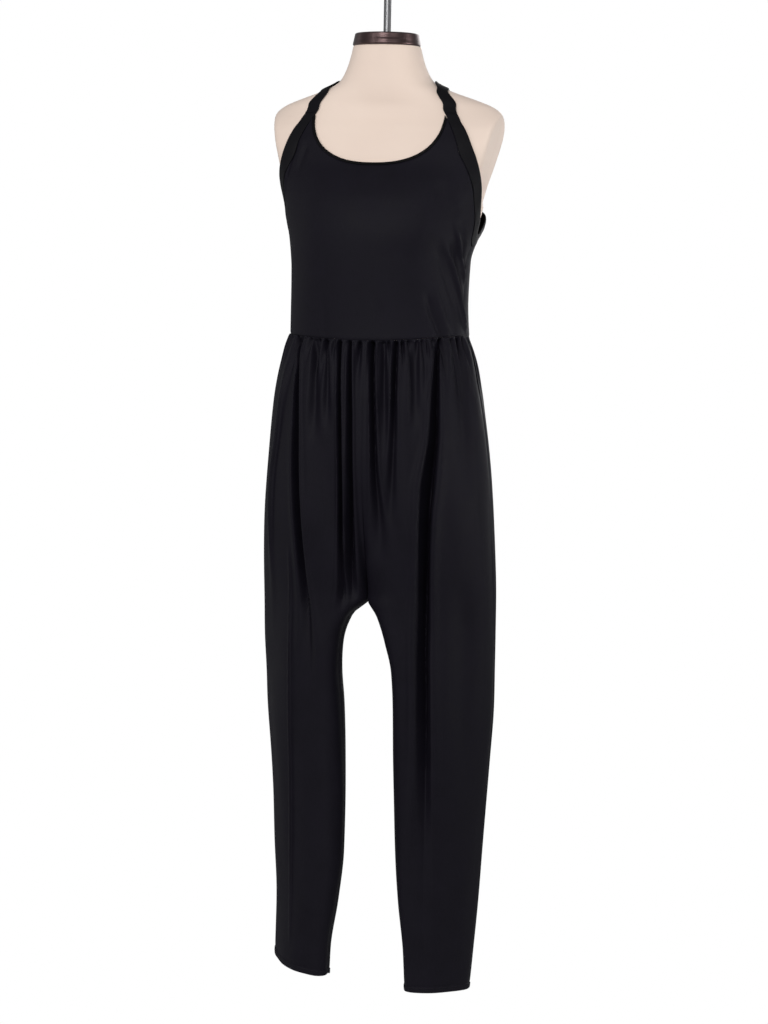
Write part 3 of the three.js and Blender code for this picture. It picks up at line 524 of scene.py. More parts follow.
# %% Dress form
def form_surface(rows=180, columns=200):
    """Rings at even steps of height. A groove of 0.5 mm runs down each side seam."""
    z = np.concatenate([np.linspace(-106.8, -850, rows), [-854, -857, -859.5, -861.2, -862]])[:, None]
    around = (np.arange(columns) * 4 / columns)[None, :]
    around = np.where(around > 2, around - 4, around)
    x, y = form_ring(around, z)
    turn = turn_of(around)
    groove = 0.5 * bell((turn - 1.0) / 0.006)
    size = np.maximum(np.hypot(x, y), 1)
    x, y = x * (1 - groove / size), y * (1 - groove / size)
    return np.stack([x, y, np.broadcast_to(z, x.shape)], -1)


dress_form = tube("dress_form_cover", form_surface(), COVER, "form_cover", "dress_form", sharp=60)

# %% [markdown]
# ## Neck cap and rod
# Both are turned on a lathe, so a profile carried round the axis is the whole shape. The cap's rims are rounded
# and fine rings are cut into its side.


# %% Turned pieces
def turned(profile, columns=128):
    """Each (radius, height) of the profile carried round the Z axis."""
    radius, height = np.array(profile, float).T
    angle = np.arange(columns) * 2 * math.pi / columns
    x, y = radius[:, None] * np.cos(angle), radius[:, None] * np.sin(angle)
    return np.stack([x, y, np.broadcast_to(height[:, None], x.shape)], -1)


def rounded(radius, height, rim, start, end, count=10):
    """Points of a quarter circle of radius rim about (radius, height)."""
    return [(radius + rim * math.cos(a), height + rim * math.sin(a)) for a in np.linspace(start, end, count)]


cap_top, cap_low, quarter = -ROD_LENGTH, -ROD_LENGTH - CAP_HEIGHT, math.pi / 2
rise = np.linspace(0.02, 0.98, 40)
ring_depth = 0.14 * (1 + np.sin(rise * 68)) * bell((rise - 0.5) / 0.42)
side_rings = zip(
    mix(CAP_RADIUS, CAP_TOP_RADIUS, rise) - ring_depth, mix(cap_low + CAP_RIM, cap_top - CAP_RIM, rise)
)
cap_profile = [
    (0.5, cap_low),
    (20, cap_low),
    *rounded(CAP_RADIUS - CAP_RIM, cap_low + CAP_RIM, CAP_RIM, -quarter, 0),
    *side_rings,
    *rounded(CAP_TOP_RADIUS - CAP_RIM, cap_top - CAP_RIM, CAP_RIM, 0, quarter),
    (40, cap_top),
    (16, cap_top),
    (0.5, cap_top),
]
tube("neck_cap_turned", turned(cap_profile), CAP_METAL, "neck_cap_metal", "neck_cap", sharp=40)
rod_profile = [
    (0.2, -ROD_LENGTH + 0.3),
    (ROD_RADIUS, -ROD_LENGTH + 0.3),
    *[(ROD_RADIUS, z) for z in np.linspace(2 - ROD_LENGTH, -1.4, 12)],
    *rounded(ROD_RADIUS - 1, -1, 1, 0, quarter, 6),
    (0.2, 0),
]
tube("hanging_rod_turned", turned(rod_profile, 64), ROD_METAL, "rod_chrome", "hanging_rod", sharp=40)

# %% [markdown]
# ## The bodice as a surface
# Above the bust the bodice lies on the form; below it hangs free, leans a little to one side, and folds softly
# from the bust to the waist. Each fold is a rounded ridge or trough that runs from one point to another and fades at
# both ends. The back armhole stands away from the body.

# %% Folds of the bodice
# Each row: side, from (round, z), to (round, z), width, height. round is the distance from centre front.
BODICE_FOLDS = [
    (1, 139, -420, 196, -552, 4, 7.0),
    (1, 150, -414, 204, -540, 5, -5.0),
    (1, 146, -388, 200, -478, 4, 5.0),
    (1, 158, -384, 210, -470, 5, -2.2),
    (1, 128, -410, 170, -500, 4.5, 2.2),
    (1, 118, -420, 160, -520, 6, -1.8),
    (1, 104, -500, 128, -572, 6, -5.0),
    (1, 120, -492, 144, -568, 6, 2.8),
    (1, 112, -316, 156, -356, 9, 1.6),
    (1, 104, -330, 150, -376, 10, -1.8),
    (1, 180, -490, 212, -562, 5, 2.0),
    (-1, 128, -262, 156, -320, 3.2, -1.6),
    (-1, 136, -262, 164, -322, 3.4, 1.5),
    (-1, 111, -262, 128, -310, 3.6, -1.2),
    (-1, 120, -258, 136, -306, 3.2, 1.0),
    (-1, 144, -288, 172, -342, 3.2, 1.4),
    (-1, 170, -420, 184, -556, 9, -2.0),
    (-1, 60, -505, 66, -574, 7, -1.2),
    (1, 30, -515, 36, -574, 8, -1.0),
    (1, 150, -280, 168, -325, 3.6, -1.0),
]


def bodice_fold(around, z):
    """The sum of each fold's height times a bell across it and a soft start and end along it."""
    round_ = np.abs(around) * bodice_ring.front(z)
    total = 0
    for side, u0, z0, u1, z1, width, height in BODICE_FOLDS:
        du, dz = u1 - u0, z1 - z0
        t = ((round_ - u0) * du + (z - z0) * dz) / (du * du + dz * dz)
        off = ((round_ - u0) * dz - (z - z0) * du) / math.hypot(du, dz)
        ends = smooth(-0.1, 0.3, t) * (1 - smooth(0.85, 1.15, t))
        total = total + height * bell(off / width) * ends * ((np.sign(around) == side) & (np.abs(around) <= 1))
    return total


def back_fold(around, z):
    """Soft troughs of the back: they start at the racer back's narrow part and open towards the waist."""
    total = 0
    for place, lean, width, depth, top in (
        (1.86, -0.1, 0.035, 2.2, -330),
        (1.68, -0.1, 0.05, 2.0, -380),
        (2.16, 0.08, 0.04, 2.4, -340),
        (2.38, 0.12, 0.05, 2.0, -400),
        (2.02, 0.02, 0.03, 1.4, -420),
    ):
        t = np.clip((top - z) / (top - WAIST_Z), 0, 1)
        total = total - depth * bell((around - place - lean * t) / (width * (0.6 + t))) * smooth(0, 0.3, t)
    return total


bodice_sway = column(BODICE, "sway")


def bodice_base(around, z):
    """The ring, moved sideways by the sway, which fades to a fifth on the back."""
    x, y = bodice_ring(around, z)
    sway = bodice_sway(z) * (1 - 0.8 * smooth(0.95, 1.2, turn_of(around)))
    return np.stack(np.broadcast_arrays(x + sway, y, z), -1)


def normal_of(surface, around, z):
    """The outward direction: the cross product of small steps around and up."""
    across = surface(around + 0.004, z) - surface(around - 0.004, z)
    rise = surface(around, z + 0.6) - surface(around, z - 0.6)
    found = np.cross(across, rise)
    return found / np.linalg.norm(found, axis=-1, keepdims=True)


FLARE, FLARE_TURN, FLARE_Z = 17, 1.34, -383  # how far the back armhole stands away, and where most


def bodice(around, z, out):
    """The base moved outwards by out, the back armhole's flare and the folds."""
    around, z = np.broadcast_arrays(np.asarray(around, float), np.asarray(z, float))
    turn = turn_of(around)
    flare = FLARE * bell((turn - FLARE_TURN) / 0.15) * bell((z - FLARE_Z) / 27)
    lift = flare * np.where(turn > 1, 1, bell((1 - turn) / 0.1))
    is_back = smooth(1.15, 1.4, turn) * smooth(-330, -380, z)
    lift = lift + bodice_fold(around, z) + back_fold(around, z) * is_back
    return bodice_base(around, z) + normal_of(bodice_base, around, z) * (out + lift)[..., None]


# %% [markdown]
# ## Lines on the bodice
# The armhole's edge is a smooth curve drawn on the surface. Its band lies beside it, and the neckline is half an
# ellipse. A piece's edges are such lines, as a cutter's chalk lines are.

# %% Armhole, neckline and straps
ARMHOLE = [
    (0.58, -216), (0.571, -230), (0.598, -248), (0.639, -267), (0.7, -286), (0.76, -305), (0.825, -324),
    (0.88, -343), (0.925, -363), (0.962, -383), (1.005, -399), (1.055, -403), (1.12, -390), (1.23, -371),
    (1.45, -350), (1.64, -334), (1.735, -310), (1.79, -285), (1.812, -258),
]
STRAP_INNER = [
    (0.515, -205), (0.635, -184), (0.807, -172), (1.0, -162.3), (1.22, -164.8), (1.45, -178), (1.62, -198),
    (1.76, -222), (1.85, -243),
]
STRAP_OUTER = [
    (0.619, -205), (0.765, -184.5), (0.89, -177.2), (1.0, -174.5), (1.17, -175.5), (1.35, -185), (1.51, -201),
    (1.66, -222), (1.76, -241),
]
NECKS = {True: (105.5, -216, 79.5, 0.85), False: (27, -258, 13, 0.9)}
BINDING_WIDTH = 4


def path_of(rows, shares):
    """A Catmull-Rom curve through the rows, at shares of its length."""
    p = np.array(rows, float) * (200, 1)
    count = len(p)
    t = np.linspace(0, count - 1, 6001)
    i = np.minimum(t.astype(int), count - 2)
    w = (t - i)[:, None]
    before, here, after = p[np.maximum(i - 1, 0)], p[i], p[i + 1]
    beyond = p[np.minimum(i + 2, count - 1)]
    v0, v1 = (after - before) / 2, (beyond - here) / 2
    line = (2 * here - 2 * after + v0 + v1) * w**3 + (3 * after - 3 * here - 2 * v0 - v1) * w**2 + v0 * w + here
    run = lengths(line, 0)
    return np.stack([np.interp(shares, run / run[-1], line[:, k]) for k in (0, 1)], -1) / (200, 1)


def beside(path, surface, distance):
    """The path moved sideways over the surface by a distance, to the right of its run seen from outside."""
    around, z = path.T
    last = len(path) - 1
    step = np.arange(last + 1)
    before, after = path[np.maximum(step - 1, 0)], path[np.minimum(step + 1, last)]
    here = surface(around, z)
    per_around = np.linalg.norm(surface(around + 0.01, z) - here, axis=-1) / 0.01
    per_z = np.linalg.norm(surface(around, z - 1) - here, axis=-1)
    run, rise = (after[:, 0] - before[:, 0]) * per_around, (after[:, 1] - before[:, 1]) * per_z
    size = distance / np.hypot(run, rise)
    return np.stack([around + size * rise / per_around, z - size * run / per_z], -1)


SHARES = np.concatenate([[0, 0.004, 0.008, 0.012, 0.016], np.linspace(0, 1, 200)[4:]])
band_width = mix(19, 21, smooth(0, 0.16, SHARES) * (1 - smooth(0.84, 1, SHARES))) - 4 * bell((SHARES - 0.24) / 0.09)
armhole_edge = path_of(ARMHOLE, SHARES)
armhole_seam = beside(armhole_edge, bodice_base, band_width)
panel_seam = beside(armhole_edge, bodice_base, band_width + BAND_GAP)
side_step = int(np.argmax(panel_seam[:, 0] > 1))
seam_of = {True: panel_seam[:side_step], False: panel_seam[side_step:][::-1]}
print("armhole edge", round(float(lengths(bodice_base(*armhole_edge.T), 0)[-1])), "mm round")


# %% Neckline
def around_at_width(x, z, is_front):
    """The place on a ring at a distance from the centre plane, found by halving."""
    low = np.full(np.shape(x), 0.0 if is_front else 2.0)
    high = np.ones(np.shape(x))
    for _ in range(25):
        middle = (low + high) / 2
        is_less = bodice_ring(middle, z)[0] < x
        low, high = np.where(is_less, middle, low), np.where(is_less, high, middle)
    return (low + high) / 2


def neck_point(is_front, inset, angle):
    """Half an ellipse, a little squarer than a true one, moved down and outwards by inset."""
    half_width, top, depth, power = NECKS[is_front]
    angle = np.asarray(angle, float)
    z = top - (depth + inset) * np.maximum(np.cos(angle), 0) ** power
    return np.stack([around_at_width((half_width + inset) * np.sin(angle) ** power, z, is_front), z], -1)


def neck_end(is_front, inset):
    """The angle at which the neckline meets the armhole band, found by halving."""
    seam = seam_of[is_front]
    low, high = 0.0, math.pi / 2
    for _ in range(25):
        middle = (low + high) / 2
        around, z = neck_point(is_front, inset, middle)
        gap = np.interp(-z, -seam[:, 1], seam[:, 0]) - around
        low, high = (middle, high) if (gap if is_front else -gap) > 0 else (low, middle)
    return low


def neck_edge(is_front, inset):
    """The half neckline from the centre to the band, with its last point set back a little for the binding."""
    end = neck_end(is_front, BINDING_WIDTH + SEAM_GAP)
    angles = np.linspace(0, end, 56 if is_front else 16)
    if inset <= BINDING_WIDTH:
        angles = np.linspace(0, neck_end(is_front, inset) - 0.016, len(angles))
    return neck_point(is_front, inset, angles)


def whole_edge(half, is_front):
    """A line from the centre to the left side, joined to its mirror image."""
    other = half[1:] * (-1, 1) if is_front else half[1:] * (-1, 1) + (4, 0)
    return np.concatenate([other[::-1], half]) if is_front else np.concatenate([half[::-1], other])


# %% [markdown]
# ## Bodice panels
# Each panel's columns run straight from the waist seam up to the top edge, which goes along the neck seam to the
# strap and down the armhole band. Close to a seam the cloth turns in, so that each seam reads as a fine groove.

# %% Front and back bodice
SIDE_GAP = 0.0006


def waist_z(around):
    """The waist seam is lower at the centre than at the sides, by the cosine squared."""
    sag = np.where(np.abs(around) < 1, 10, 4)
    return WAIST_Z - np.cos(math.pi / 2 * around) ** 2 * sag


def bodice_panel(is_front, rows=96):
    """Points at (column k, share at) between the waist seam and the top edge."""
    neck = neck_edge(is_front, BINDING_WIDTH + SEAM_GAP)
    seam = seam_of[is_front]
    keep = (seam[:, 1] < neck[-1, 1] - 0.5) & (np.abs(seam[:, 0] - 1) > 0.004)
    last, following = panel_seam[side_step - 1], panel_seam[side_step]
    around = 1 - SIDE_GAP if is_front else 1 + SIDE_GAP
    low = mix(last[1], following[1], (around - last[0]) / (following[0] - last[0]))
    edge = whole_edge(np.concatenate([neck, seam[keep], [(around, low)]]), is_front)
    run = lengths(edge * (190, 1), 0)
    waist = mix(edge[0, 0], edge[-1, 0], run / run[-1])
    share = np.linspace(0, 1, rows)
    share = mix(share, smooth(0, 1, share), 0.35)[:, None]
    around = mix(waist, edge[:, 0], share)
    z = mix(waist_z(waist) + 0.12, edge[:, 1], share)
    reach = np.linalg.norm(np.diff(bodice_base(around, z)[[0, -1]], axis=0)[0], axis=-1)
    turned_in = 0.75 * (bell(share * reach / 2.0) + bell((1 - share) * reach / 1.6))
    side = np.minimum(run, run[-1] - run)
    turned_in = turned_in + 0.75 * bell(side / 1.8)
    return bodice(around, z, 1.62 - turned_in), bodice(around, z, 0.1)


front_bodice = shell("bodice_front_cloth", *bodice_panel(True), PANEL_CLOTH, "jersey", "front_bodice")
back_bodice = shell("bodice_back_cloth", *bodice_panel(False), PANEL_CLOTH, "jersey", "back_bodice")

# %% [markdown]
# ## Bands, straps and bindings
# These are folded strips. A strip's outline is a flat oval, and it is carried along the two edge lines, so its
# width follows them. Bands that are sewn on under tension pucker a little, and unevenly.


# %% Folded strips
def squared(wave, power):
    """A cosine or sine with its size raised to a power below 1, which makes an oval squarer."""
    return np.sign(wave) * np.abs(wave) ** power


def strip_loops(first, second, inner, wall, across=14, puckers=0.0, sewn=True):
    """At each station a flat oval: the share across is a squared-off cosine, the distance out a squared-off sine.
    The second edge is nearly square where it is sewn to a panel."""
    angle = (np.arange(2 * across) + 0.5) * math.pi / across
    square_edge = np.where((np.cos(angle) < 0) & sewn, 0.12, 0.6)
    share = (0.5 - 0.5 * squared(np.cos(angle), square_edge))[None, :]
    rise = (0.5 + 0.5 * squared(np.sin(angle), np.where((np.cos(angle) < 0) & sewn, 0.2, 0.45)))[None, :]
    station = lengths(bodice_base(*first.T), 0)[:, None]
    wave = np.sin(station / 5.1 + 2 * np.sin(station / 17)) * np.sin(station / 23 + 1) * puckers
    around = mix(first[:, :1], second[:, :1], share)
    z = mix(first[:, 1:], second[:, 1:], share)
    return bodice(around, z, inner + wall * rise + wave * rise * bell((share - 0.75) / 0.4))


def mirrored(path, side):
    """The same path on the side given: 1 for the left, -1 for the right."""
    return path * (side, 1)


bands = {}
for word, side in (("left", 1), ("right", -1)):
    edge, seam = mirrored(armhole_edge, side), mirrored(armhole_seam, side)
    bands[word] = tube(
        f"armhole_band_{word}_cloth",
        strip_loops(edge, seam, 0.05, BAND_WALL - 0.1, puckers=0.35),
        BAND_CLOTH,
        "jersey_band",
        f"armhole_band_{word}",
    )

straps = {}
STRAP_SHARES = np.linspace(0, 1, 110)
for word, side in (("left", 1), ("right", -1)):
    ends = [(armhole_seam[0], armhole_seam[-1]), (armhole_edge[0], armhole_edge[-1])]
    edges = [
        mirrored(path_of([first + (0, 0.05), *rows, last + (0, 0.05)], STRAP_SHARES), side)
        for rows, (first, last) in zip((STRAP_INNER, STRAP_OUTER), ends)
    ]
    loops = strip_loops(*edges, 0.65, BAND_WALL - 0.1, sewn=False)
    straps[word] = tube(f"strap_{word}_cloth", loops, BAND_CLOTH, "jersey_band", f"strap_{word}")

bindings = {}
for word, is_front in (("front", True), ("back", False)):
    top, low = (whole_edge(neck_edge(is_front, inset), is_front) for inset in (0, BINDING_WIDTH))
    bindings[word] = tube(
        f"{word}_neck_binding_cloth",
        strip_loops(top, low, -0.35, BINDING_WALL - 0.1, across=8),
        BINDING_CLOTH_PAINTED_SHADE,
        "jersey_band",
        f"{word}_neck_binding",
    )

# %% [markdown]
# ## The trousers as a surface
# Above the crotch a panel's sections are a quarter of the seat's ring; below it they are half of the leg's oval.
# Between the two they are blended, late and quickly at the centre, so that the crotch is a rounded U.

# %% Trouser sections
LEG = table(
    "z left_in left_out right_in right_out forward backward depth",
    (-840, 0, 187, 0, 191, 30, 20, 106),
    (-930, 0, 187, 0, 191, 42, 30, 82),
    (-983, 0.4, 187, 0.4, 191, 48, 36, 70),
    (-1014, 18.5, 185, 32, 191.5, 52.5, 41, 63),
    (-1054, 32, 184.7, 43, 192.5, 55, 45, 58),
    (-1102, 41.5, 184, 46, 187.7, 48, 44, 57),
    (-1150, 42.8, 184.7, 43, 185.6, 41, 41, 57),
    (-1230, 43.8, 180.6, 40, 177.5, 38, 38, 54),
    (-1310, 46.7, 176.7, 38.7, 171.2, 36, 36, 50),
    (-1390, 50.2, 172.4, 39.7, 167.8, 34, 34, 46),
    (-1470, 56.5, 168.2, 48, 161.8, 32, 32, 43),
    (-1550, 65, 162.4, 61, 161.5, 28, 28, 38),
    (-1620, 67, 157, 64, 160, 23, 23, 34),
)
leg = {name: column(LEG, name) for name in LEG if name != "z"}
seat_sway = column(SEAT, "sway")
# The hem's rise at the inner seam, what the side seam adds to it, and a small rise of the inner corner alone.
HEM_RISE = {"left": (0, 3.5, 6), "right": (17, 33, 6)}
HEM_EXTRA = 0.8


def blend_at(is_front, across, z):
    """0 in the seat, 1 in the leg."""
    start = -720 if is_front else -780
    centre = np.clip((start - z) / (start - CROTCH_Z), 0, 1) ** 2.4
    return mix(centre, smooth(-640, CROTCH_Z - 30, z), smooth(0, 0.55, across))


def trouser_section(is_front, word, across, z):
    """The seat's quarter and the leg's half oval, mixed."""
    seat_x, seat_y = seat_ring(across if is_front else 2 - across, z)
    f = math.pi * across
    leg_x = mix(leg[word + "_in"](z), leg[word + "_out"](z), 0.5 - 0.5 * np.cos(f))
    skew = np.where(across < 0.5, leg["forward"](z), leg["backward"](z))
    leg_y = -skew * np.cos(f) + (-1 if is_front else 1) * leg["depth"](z) * np.sin(f)
    t = blend_at(is_front, across, z)
    way = 1 if word == "left" else -1
    sway = way * seat_sway(z) * smooth(0, 0.4, across) * (1 - t)
    x = np.maximum(mix(seat_x, leg_x, t) + sway, 0)
    return np.stack(np.broadcast_arrays(way * x, mix(seat_y, leg_y, t), z), -1)


def trouser_base(is_front, word, across, z):
    """The section, averaged with its neighbours above and below except along the inner seam, so that the cloth runs
    from the seat into the leg without a ledge."""
    across, z = np.broadcast_arrays(np.asarray(across, float), np.asarray(z, float))
    here = trouser_section(is_front, word, across, z)
    weights = {-36: 0.12, -18: 0.23, 0: 0.3, 18: 0.23, 36: 0.12}
    soft = sum(w * trouser_section(is_front, word, across, z + step) for step, w in weights.items())
    share = smooth(0.02, 0.2, across) * smooth(-700, -800, z) * (1 - smooth(-1500, -1600, z))
    mixed = mix(here, soft, share[..., None])
    mixed[..., 2] = z
    return mixed


# %% [markdown]
# ## Gathers and folds
# A gather is a narrow valley at the waist seam that widens and fades as it falls. A dozen are sewn into each
# panel, unevenly, with finer tucks between them. Some run on as long folds. Each long fold is drawn: its
# place across the panel, depth and width at a few heights, as seen in the photograph, with folds of the same kind on
# the back.

# %% Long folds
# Each fold's rows: z, distance from the centre plane, depth (below zero for a ridge), width.
FOLD = "z place depth width"
FRONT_RIGHT = [
    [
        (-566, 43, 3, 2.4), (-586, 42, 11, 2.6), (-700, 37, 17, 2.7), (-797, 35, 18, 2.9), (-886, 36, 16, 3.4),
        (-968, 36, 10, 5), (-1010, 37, 0, 9),
    ],
    [
        (-566, 25, 3, 3), (-590, 24, 14, 3), (-700, 20, 19, 3.7), (-797, 19, 21, 4.2), (-885, 21, 20, 5.2),
        (-955, 24, 14, 8), (-1000, 27, 0, 12),
    ],
    [
        (-566, 118, 3, 3), (-587, 116, 12, 3.4), (-672, 113, 20, 4.4), (-758, 112, 23, 5.2), (-888, 105, 22, 5.2),
        (-955, 101, 18, 6), (-1022, 95, 11, 8), (-1120, 92, 4, 16), (-1240, 90, 0, 18),
    ],
    [(-566, 86, 3, 3), (-590, 84, 8, 4), (-672, 81, 7, 6), (-740, 80, 0, 9)],
    [(-566, 65, 3, 3), (-590, 63, 9, 3.4), (-660, 59, 7, 5), (-720, 57, 0, 7)],
    [(-600, 100, 0, 7), (-680, 97, -2.5, 8), (-850, 90, -2, 9), (-930, 88, 0, 9)],
    [
        (-606, 137, 0, 5), (-640, 141.5, -4, 4), (-673, 146, -6.5, 3.6), (-721, 151, -8, 3.6),
        (-801, 160.5, -8, 3.6), (-880, 162.5, -7, 4), (-960, 164.5, -3, 6), (-1060, 166, 0, 8),
    ],
    [
        (-900, 126, 0, 3), (-940, 126.5, -2.8, 2.2), (-1024, 127.5, -4.4, 2), (-1152, 126.5, -4.8, 2),
        (-1281, 126, -4.6, 2), (-1410, 125.5, -4, 2.1), (-1510, 123.5, -2.6, 2.5), (-1550, 123, 0, 3),
    ],
]
FRONT_LEFT = [
    [
        (-566, 13, 3, 2.6), (-585, 13, 11, 3), (-701, 18, 15, 3.4), (-788, 21, 13, 4.4), (-852, 26, 8, 7),
        (-930, 29, 0, 12),
    ],
    [(-566, 30, 3, 2.6), (-585, 31, 9, 3), (-669, 34, 7, 5), (-760, 36, 0, 8)],
    [
        (-566, 47, 3, 2.8), (-584, 48.5, 15, 3.2), (-650, 49.5, 14, 3.2), (-700, 50, 10, 3.8), (-787, 48, 6, 5),
        (-870, 45, 0, 8),
    ],
    [(-566, 78, 3, 3), (-584, 79, 8, 4), (-660, 82, 6, 6), (-720, 83, 0, 9)],
    [
        (-566, 109, 5, 4), (-583, 109, 15, 4), (-668, 110, 22, 5.5), (-720, 110.5, 24, 6.3), (-752, 108.5, 26, 7.2),
        (-800, 104, 30, 9), (-864, 100, 30, 8), (-927, 96.5, 30, 7.8), (-991, 93.5, 30, 8.2), (-1047, 92.5, 28, 8.8),
        (-1142, 94.5, 25, 9), (-1221, 95.5, 20, 9.5), (-1300, 95, 13, 11), (-1360, 94, 8, 13), (-1450, 92, 4, 16),
        (-1560, 92, 2.5, 18), (-1600, 92, 0, 20),
    ],
    [(-566, 131, 3, 4), (-588, 136, 9, 5), (-667, 145, 10, 8), (-768, 154, 6, 12), (-860, 158, 0, 14)],
    [(-940, 146, 0, 12), (-1020, 148, 4, 13), (-1143, 150, 4, 13), (-1300, 150, 0, 14)],
    [(-600, 126, 0, 7), (-680, 127, -3, 8), (-790, 122, -4, 10), (-900, 116, -3, 12), (-980, 112, 0, 14)],
    [(-640, 62, 0, 8), (-720, 66, -2, 10), (-860, 70, -2.5, 12), (-960, 68, 0, 12)],
]
BACK_LEFT = [
    [(-566, 30, 3, 3), (-590, 30, 11, 4), (-740, 30, 14, 6), (-880, 34, 9, 10), (-960, 36, 0, 12)],
    [(-566, 76, 3, 3), (-590, 75, 10, 4), (-700, 70, 8, 6), (-800, 66, 0, 9)],
    [
        (-566, 112, 4, 4), (-600, 112, 13, 6), (-760, 108, 17, 9), (-940, 100, 16, 11), (-1120, 94, 9, 15),
        (-1260, 94, 0, 18),
    ],
    [(-566, 134, 3, 4), (-600, 138, 8, 6), (-720, 150, 6, 10), (-820, 156, 0, 12)],
    [(-640, 52, 0, 8), (-740, 50, -3, 9), (-860, 50, 0, 10)],
    [(-1000, 126, 0, 3), (-1060, 127, -1.8, 2.8), (-1300, 126, -2, 2.8), (-1480, 122, -1.2, 3), (-1530, 122, 0, 3)],
]
BACK_RIGHT = [
    [(-566, 20, 3, 3), (-590, 20, 10, 4), (-720, 24, 12, 6), (-840, 30, 6, 10), (-920, 32, 0, 12)],
    [(-566, 60, 4, 3), (-600, 60, 12, 4), (-760, 56, 14, 6), (-900, 52, 10, 9), (-980, 50, 0, 12)],
    [
        (-566, 122, 4, 4), (-600, 121, 13, 6), (-740, 116, 16, 9), (-920, 106, 13, 12), (-1080, 100, 6, 15),
        (-1180, 98, 0, 18),
    ],
    [(-566, 96, 3, 4), (-600, 96, 8, 5), (-700, 94, 6, 8), (-780, 92, 0, 10)],
    [(-660, 84, 0, 9), (-760, 82, -3, 10), (-880, 80, 0, 12)],
    [(-960, 146, 0, 10), (-1080, 148, 4, 12), (-1260, 146, 3, 12), (-1400, 142, 0, 12)],
]
FOLDS = {
    (side, word): [table(FOLD, *rows) for rows in folds]
    for side, word, folds in (
        (True, "left", FRONT_LEFT),
        (True, "right", FRONT_RIGHT),
        (False, "left", BACK_LEFT),
        (False, "right", BACK_RIGHT),
    )
}
PHASE = {(True, "left"): 0, (True, "right"): 5, (False, "left"): 11, (False, "right"): 17}
GATHERS, GATHER_DEPTH, GATHER_FALL = 12, 7.5, 62
TUCKS, TUCK_DEPTH, TUCK_FALL = 19, 5.2, 29
CREASE_DEPTH, CREASE_WIDTH, CREASE_TOP, CREASE_FLOOR, CREASE_END = 7, 36, -925, -978, -991


# %% Depth of the gathers and folds
def uneven(k, step):
    """A sine with a step that never repeats stands in for the sewer's hand."""
    return np.sin(k * step + 0.7)


def gather_depth(across, below, phase):
    """The sum of bells across the panel, each with its own place, width, depth and fall."""
    total = 0
    for k in range(GATHERS):
        place = np.clip((k + 0.5 + 0.24 * uneven(k + phase, 2.4)) / GATHERS, 0, 1)
        fall = GATHER_FALL * (1 + 0.55 * uneven(k + phase, 1.7))
        width = (0.15 + 0.42 * below / (below + 90)) / GATHERS
        depth = GATHER_DEPTH * (1 + 0.3 * uneven(k + phase, 3.1))
        total = total + depth * bell((across - place) / width) * bell(below / fall)
    return total


def short_gather_depth(across, below, phase):
    """Between the gathers, narrow tucks of uneven depth that fade within a few centimetres."""
    total = 0
    for k in range(TUCKS):
        place = (k + 0.5 + 0.3 * uneven(k + phase, 4.1)) / TUCKS
        fall = TUCK_FALL * (1 + 0.6 * uneven(k + phase, 2.9))
        depth = TUCK_DEPTH * (1 + 0.5 * uneven(k + phase, 1.3))
        width = (0.15 + 0.2 * below / (below + 30)) / TUCKS
        total = total + depth * bell((across - place) / width) * bell(below / fall)
    return total


def rounded_v(across_it):
    """A V whose floor lies a little to the wearer's left, at 0.3: it falls from 1 there to 0 at 1.2 widths on both
    sides, with every corner rounded by a square root."""
    off = np.where(across_it < 0.3, (0.3 - across_it) / 1.5, (across_it - 0.3) / 0.9)
    v = 1.05 - np.sqrt(off * off + 0.01)
    return 0.5 * (v + np.sqrt(v * v + 0.006))


def fold_depth(key, x, z):
    """Each long fold: its depth at this height times a bell across it, or a V where it is deep. It pushes up a low
    ridge on both sides, two widths away."""
    total = 0
    for fold in FOLDS[key]:
        place, depth, width = (column(fold, name)(z) for name in FOLD.split()[1:4])
        across_it = (x - place if key[1] == "left" else x + place) / width
        off = np.abs(across_it)
        inside = (z <= fold["z"][0]) & (z >= fold["z"][-1])
        ridges = np.maximum(depth, 0) * 0.16 * bell((off - 1.9) / 0.8)
        is_deep = np.max(fold["depth"]) > 16
        total = total + np.where(inside, depth * (rounded_v(across_it) if is_deep else bell(off)) - ridges, 0)
    return total


def ripple(across, z, phase):
    """Slow uneven waves of the hanging cloth, from three sines of different lengths and leans."""
    a = np.sin(across * 17 + z / 160 + phase) * np.sin(z / 210 + phase * 1.3)
    b = np.sin(across * 31 - z / 95 + phase * 2.1) * np.sin(z / 130 + phase)
    c = np.sin(across * 9 + z / 60 + phase * 0.7)
    return 1.0 * a + 0.45 * b + 0.25 * c


WORN_TOP, FORM_END, CENTRE_Y = -560, -862, 4


def form_radius():
    """How far the form reaches from (0, CENTRE_Y) in each direction, as a grid of heights and angles."""
    heights, angle = np.arange(WORN_TOP, FORM_END - 1, -RING_STEP), np.linspace(-math.pi, math.pi, 361)
    around = np.linspace(-2, 2, 721)[1:]
    x, y = form_ring(around[None, :], heights[:, None])
    found = []
    for xs, ys in zip(x, y - CENTRE_Y):
        turn = np.arctan2(xs, -ys)
        order = np.argsort(turn)
        found.append(np.interp(angle, turn[order], np.hypot(xs, ys)[order], period=2 * math.pi))
    return np.array(found)


FORM_RADIUS = form_radius()


